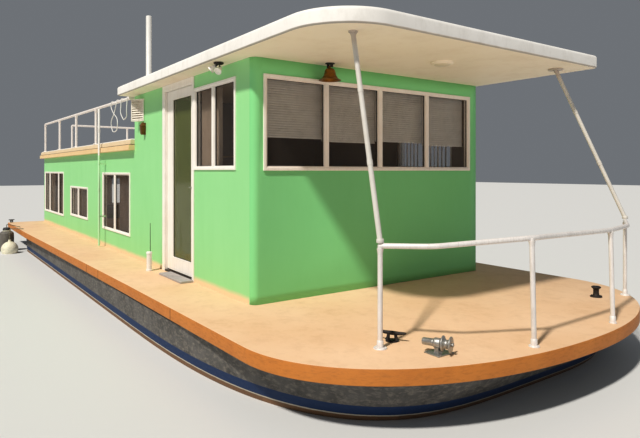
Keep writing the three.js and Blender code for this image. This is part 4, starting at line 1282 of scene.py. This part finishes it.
def superRing(place, z, middle, a, b, power=2.0, steps=28):
    ring = []
    for t in turnsOf(steps):
        c, s = math.cos(t), math.sin(t)
        ring.append(place @ Vector((middle + a * math.copysign(abs(c) ** (2 / power), c),
                                    b * math.copysign(abs(s) ** (2 / power), s), z)))
    return ring


def makeMount():
    flat, x, (px, pz) = Matrix.Identity(4), drive["steer"], drive["pin"]
    bm = bmesh.new()
    wall = turnedAt((drive["transom"], 0, drive["middle"]), -90, "Y")
    high, wide, thick = drive["plate"]
    addRings(bm, [superRing(wall, h, 0, high, wide, 8) for h in (0, thick)])
    middle, half, wide, thick = drive["lug"]
    for z in drive["lugs"]:
        addRings(bm, [superRing(flat, h, middle, half, wide, 5) for h in (z, z + thick)])
    putPiece("driveMountPlate", bm, [drivePaint], replaces=["drive_mount"], bevel=0.003)
    boltX, boltZ, ring = drive["bolts"]
    place = turnedAt((boltX, 0, boltZ), -90, "Y") @ turnedAt((0, 0, 0), 40, "Z")
    addBolts("driveMountBolts", [place], chrome, ring, 0.009, 0.008)
    bm = bmesh.new()
    addTurned(bm, mm((0, 246), (28, 246), (32, 252), (32, 330), (36, 335), (36, 425), (32, 430), (32, 548),
                     (28, 554), (0, 554)), standing(x, 0, 0))
    addRings(bm, [superRing(flat, h, -4.424, 0.034, 0.109, 6) for h in (0.34, 0.42)])
    middle, half, high, thick = drive["cheek"]
    for y in drive["cheeks"]:
        side = turnedAt((middle, y, pz), 90, "X")
        addRings(bm, [superRing(side, h, 0, half, high, 3) for h in (0, thick)])
    addTube(bm, [(px, -0.1, pz), (px, 0.1, pz)], 0.014)
    for s in (-1, 1):
        addTurned(bm, mm((0, 0), (20, 0), (20, 5), (16, 6), (0, 6)),
                  standing(px, s * 0.1085, pz, (0, s, 0)), 6)
    putPiece("driveSwivelYoke", bm, [drivePaint], "drive_swivel", replaces=["drive_swivel"], bevel=0.003)


def makeLeg():
    (px, pz), shaft = drive["pin"], drive["shaft"]
    raised = turnedAt((px, 0, pz), drive["tilt"], "Y")
    bm = bmesh.new()
    addTurned(bm, mm((16.5, -78), (42, -78), (45, -74), (45, 74), (42, 78), (16.5, 78),
                     (16.5, -78)), raised @ standing(0, 0, 0, (0, 1, 0)))
    addRings(bm, [superRing(raised, *section, power=5) for section in drive["cowl"]])
    addRings(bm, [superRing(raised, *section) for section in drive["leg"]])
    along = raised @ standing(0, 0, shaft, (-1, 0, 0))
    addTurned(bm, mm((0, -10), (16, -9), (34, 10), (46, 34), (50, 62), (50, 260), (47, 300), (0, 300)),
              along, 32)
    addRings(bm, [[raised @ Vector((a, y, z)) for a, z in drive["fin"]] for y in (-0.006, 0.006)])
    addRings(bm, [superRing(raised, z, -0.165, 0.105, 0.095, 3.2) for z in (-0.345, -0.335)])
    putPiece("driveLegCasting", bm, [drivePaint], "drive_leg", replaces=["drive_leg"], bevel=0.0025)

    bm = bmesh.new()
    addTurned(bm, mm((0, 306), (44, 306), (46, 312), (44, 350), (36, 385), (26, 397), (0, 400)), along, 32)
    for k in range(drive["blades"]):
        root = raised @ turnedAt((drive["hub"], 0, shaft), 360 * k / drive["blades"], "X")
        rings = []
        for share, half, pitch, thick in drive["blade"]:
            turned = root @ turnedAt((0, 0, 0), pitch, "Z")
            rings.append([turned @ Vector((thick * math.sin(t) + 0.15 * half * math.cos(t) ** 2,
                                           half * math.cos(t), 0.028 + 0.14 * share)) for t in turnsOf(16)])
        addRings(bm, rings)
    putPiece("drivePropeller", bm, [propBronze], "propeller", replaces=["propeller"], angle=50)


makeFenders()
makeMount()
makeLeg()
print("fenders and drive made")


# screws along the boards, and the joints of the fascia
screws = {"head": 0.0055, "step": 0.32, "down": 0.055, "out": 0.0008}


# the deck's starboard edge at a place along its straight lengths
def deckEdge(x):
    side = hull["deckSide"]
    (x0, y0), (x1, y1) = next(pair for pair in zip(side, side[1:]) if x <= pair[1][0])
    return -(y0 + (y1 - y0) * (x - x0) / (x1 - x0))


def screwBoards():
    low = lowRoof["low"] + lowRoof["strip"] / 2
    edge = faces["starboard"] - lowRoof["overhang"]
    for name, count, x, y, z, finish in (
            ("fasciaScrewsStarboard", 7, -5.9, deckEdge(-5.9), levels["deck"] - screws["down"], fasciaPaint),
            ("lowRoofScrewsStarboard", 20, -5.85, edge, low, tanPaint)):
        grow(name, screwRow, [axesAt((1, 0, 0), (0, 0, 1), (0, -1, 0), (x, y - screws["out"], z))], {
            "Count": count, "Step": screws["step"], "Head": screws["head"], "Finish": finish})


def jointBoards():
    bm = bmesh.new()
    for x in hull["joints"]:
        edge = deckEdge(x)
        addBox(bm, (x - 0.0025, edge - 0.0015, hull["deckLow"] + 0.003),
               (x + 0.0025, edge + 0.002, levels["deck"] - 0.008))
    putPiece("fasciaJoints", bm, [gasket])


screwBoards()
jointBoards()
print("screws and joints set")


# floor and light
stage = {"reach": 60, "paper": "#DADAD8", "sky": (0.86, 0.92, 1.0, 1), "skyStrength": 0.215,
         "sun": (1.0, 0.96, 0.9), "sunStrength": 3.35, "sunSpread": 4, "sunWay": (-0.34, 0.91, -1.25),
         "gamma": 0.88, "exposure": 0.05}


def makeStage():
    bm = bmesh.new()
    reach = stage["reach"]
    bm.faces.new([bm.verts.new(p) for p in squareRing(0, 0, reach, reach, levels["water"])])
    floor = bpy.data.objects.new("floor", toMesh("floor", bm))
    scene.collection.objects.link(floor)
    # matt studio paper
    paper = bpy.data.materials.new("studioPaper")
    paper.use_nodes = True
    addNode(paper.node_tree, paper.node_tree.nodes["Principled BSDF"], {
        "Base Color": toLinear(stage["paper"]), "Roughness": 0.9})
    floor.data.materials.append(paper)

    world = bpy.data.worlds.new("studio")
    world.use_nodes = True
    addNode(world.node_tree, world.node_tree.nodes["Background"], {0: stage["sky"], 1: stage["skyStrength"]})
    scene.world = world
    sun = bpy.data.lights.new("key", "SUN")
    sun.energy = stage["sunStrength"]
    sun.angle = math.radians(stage["sunSpread"])
    sun.color = stage["sun"]
    lamp = bpy.data.objects.new("key", sun)
    lamp.rotation_euler = Vector(stage["sunWay"]).to_track_quat("-Z", "Y").to_euler()
    scene.collection.objects.link(lamp)
    view = scene.view_settings
    view.view_transform = "Standard"
    view.gamma = stage["gamma"]
    view.exposure = stage["exposure"]


makeStage()
print("stage made")
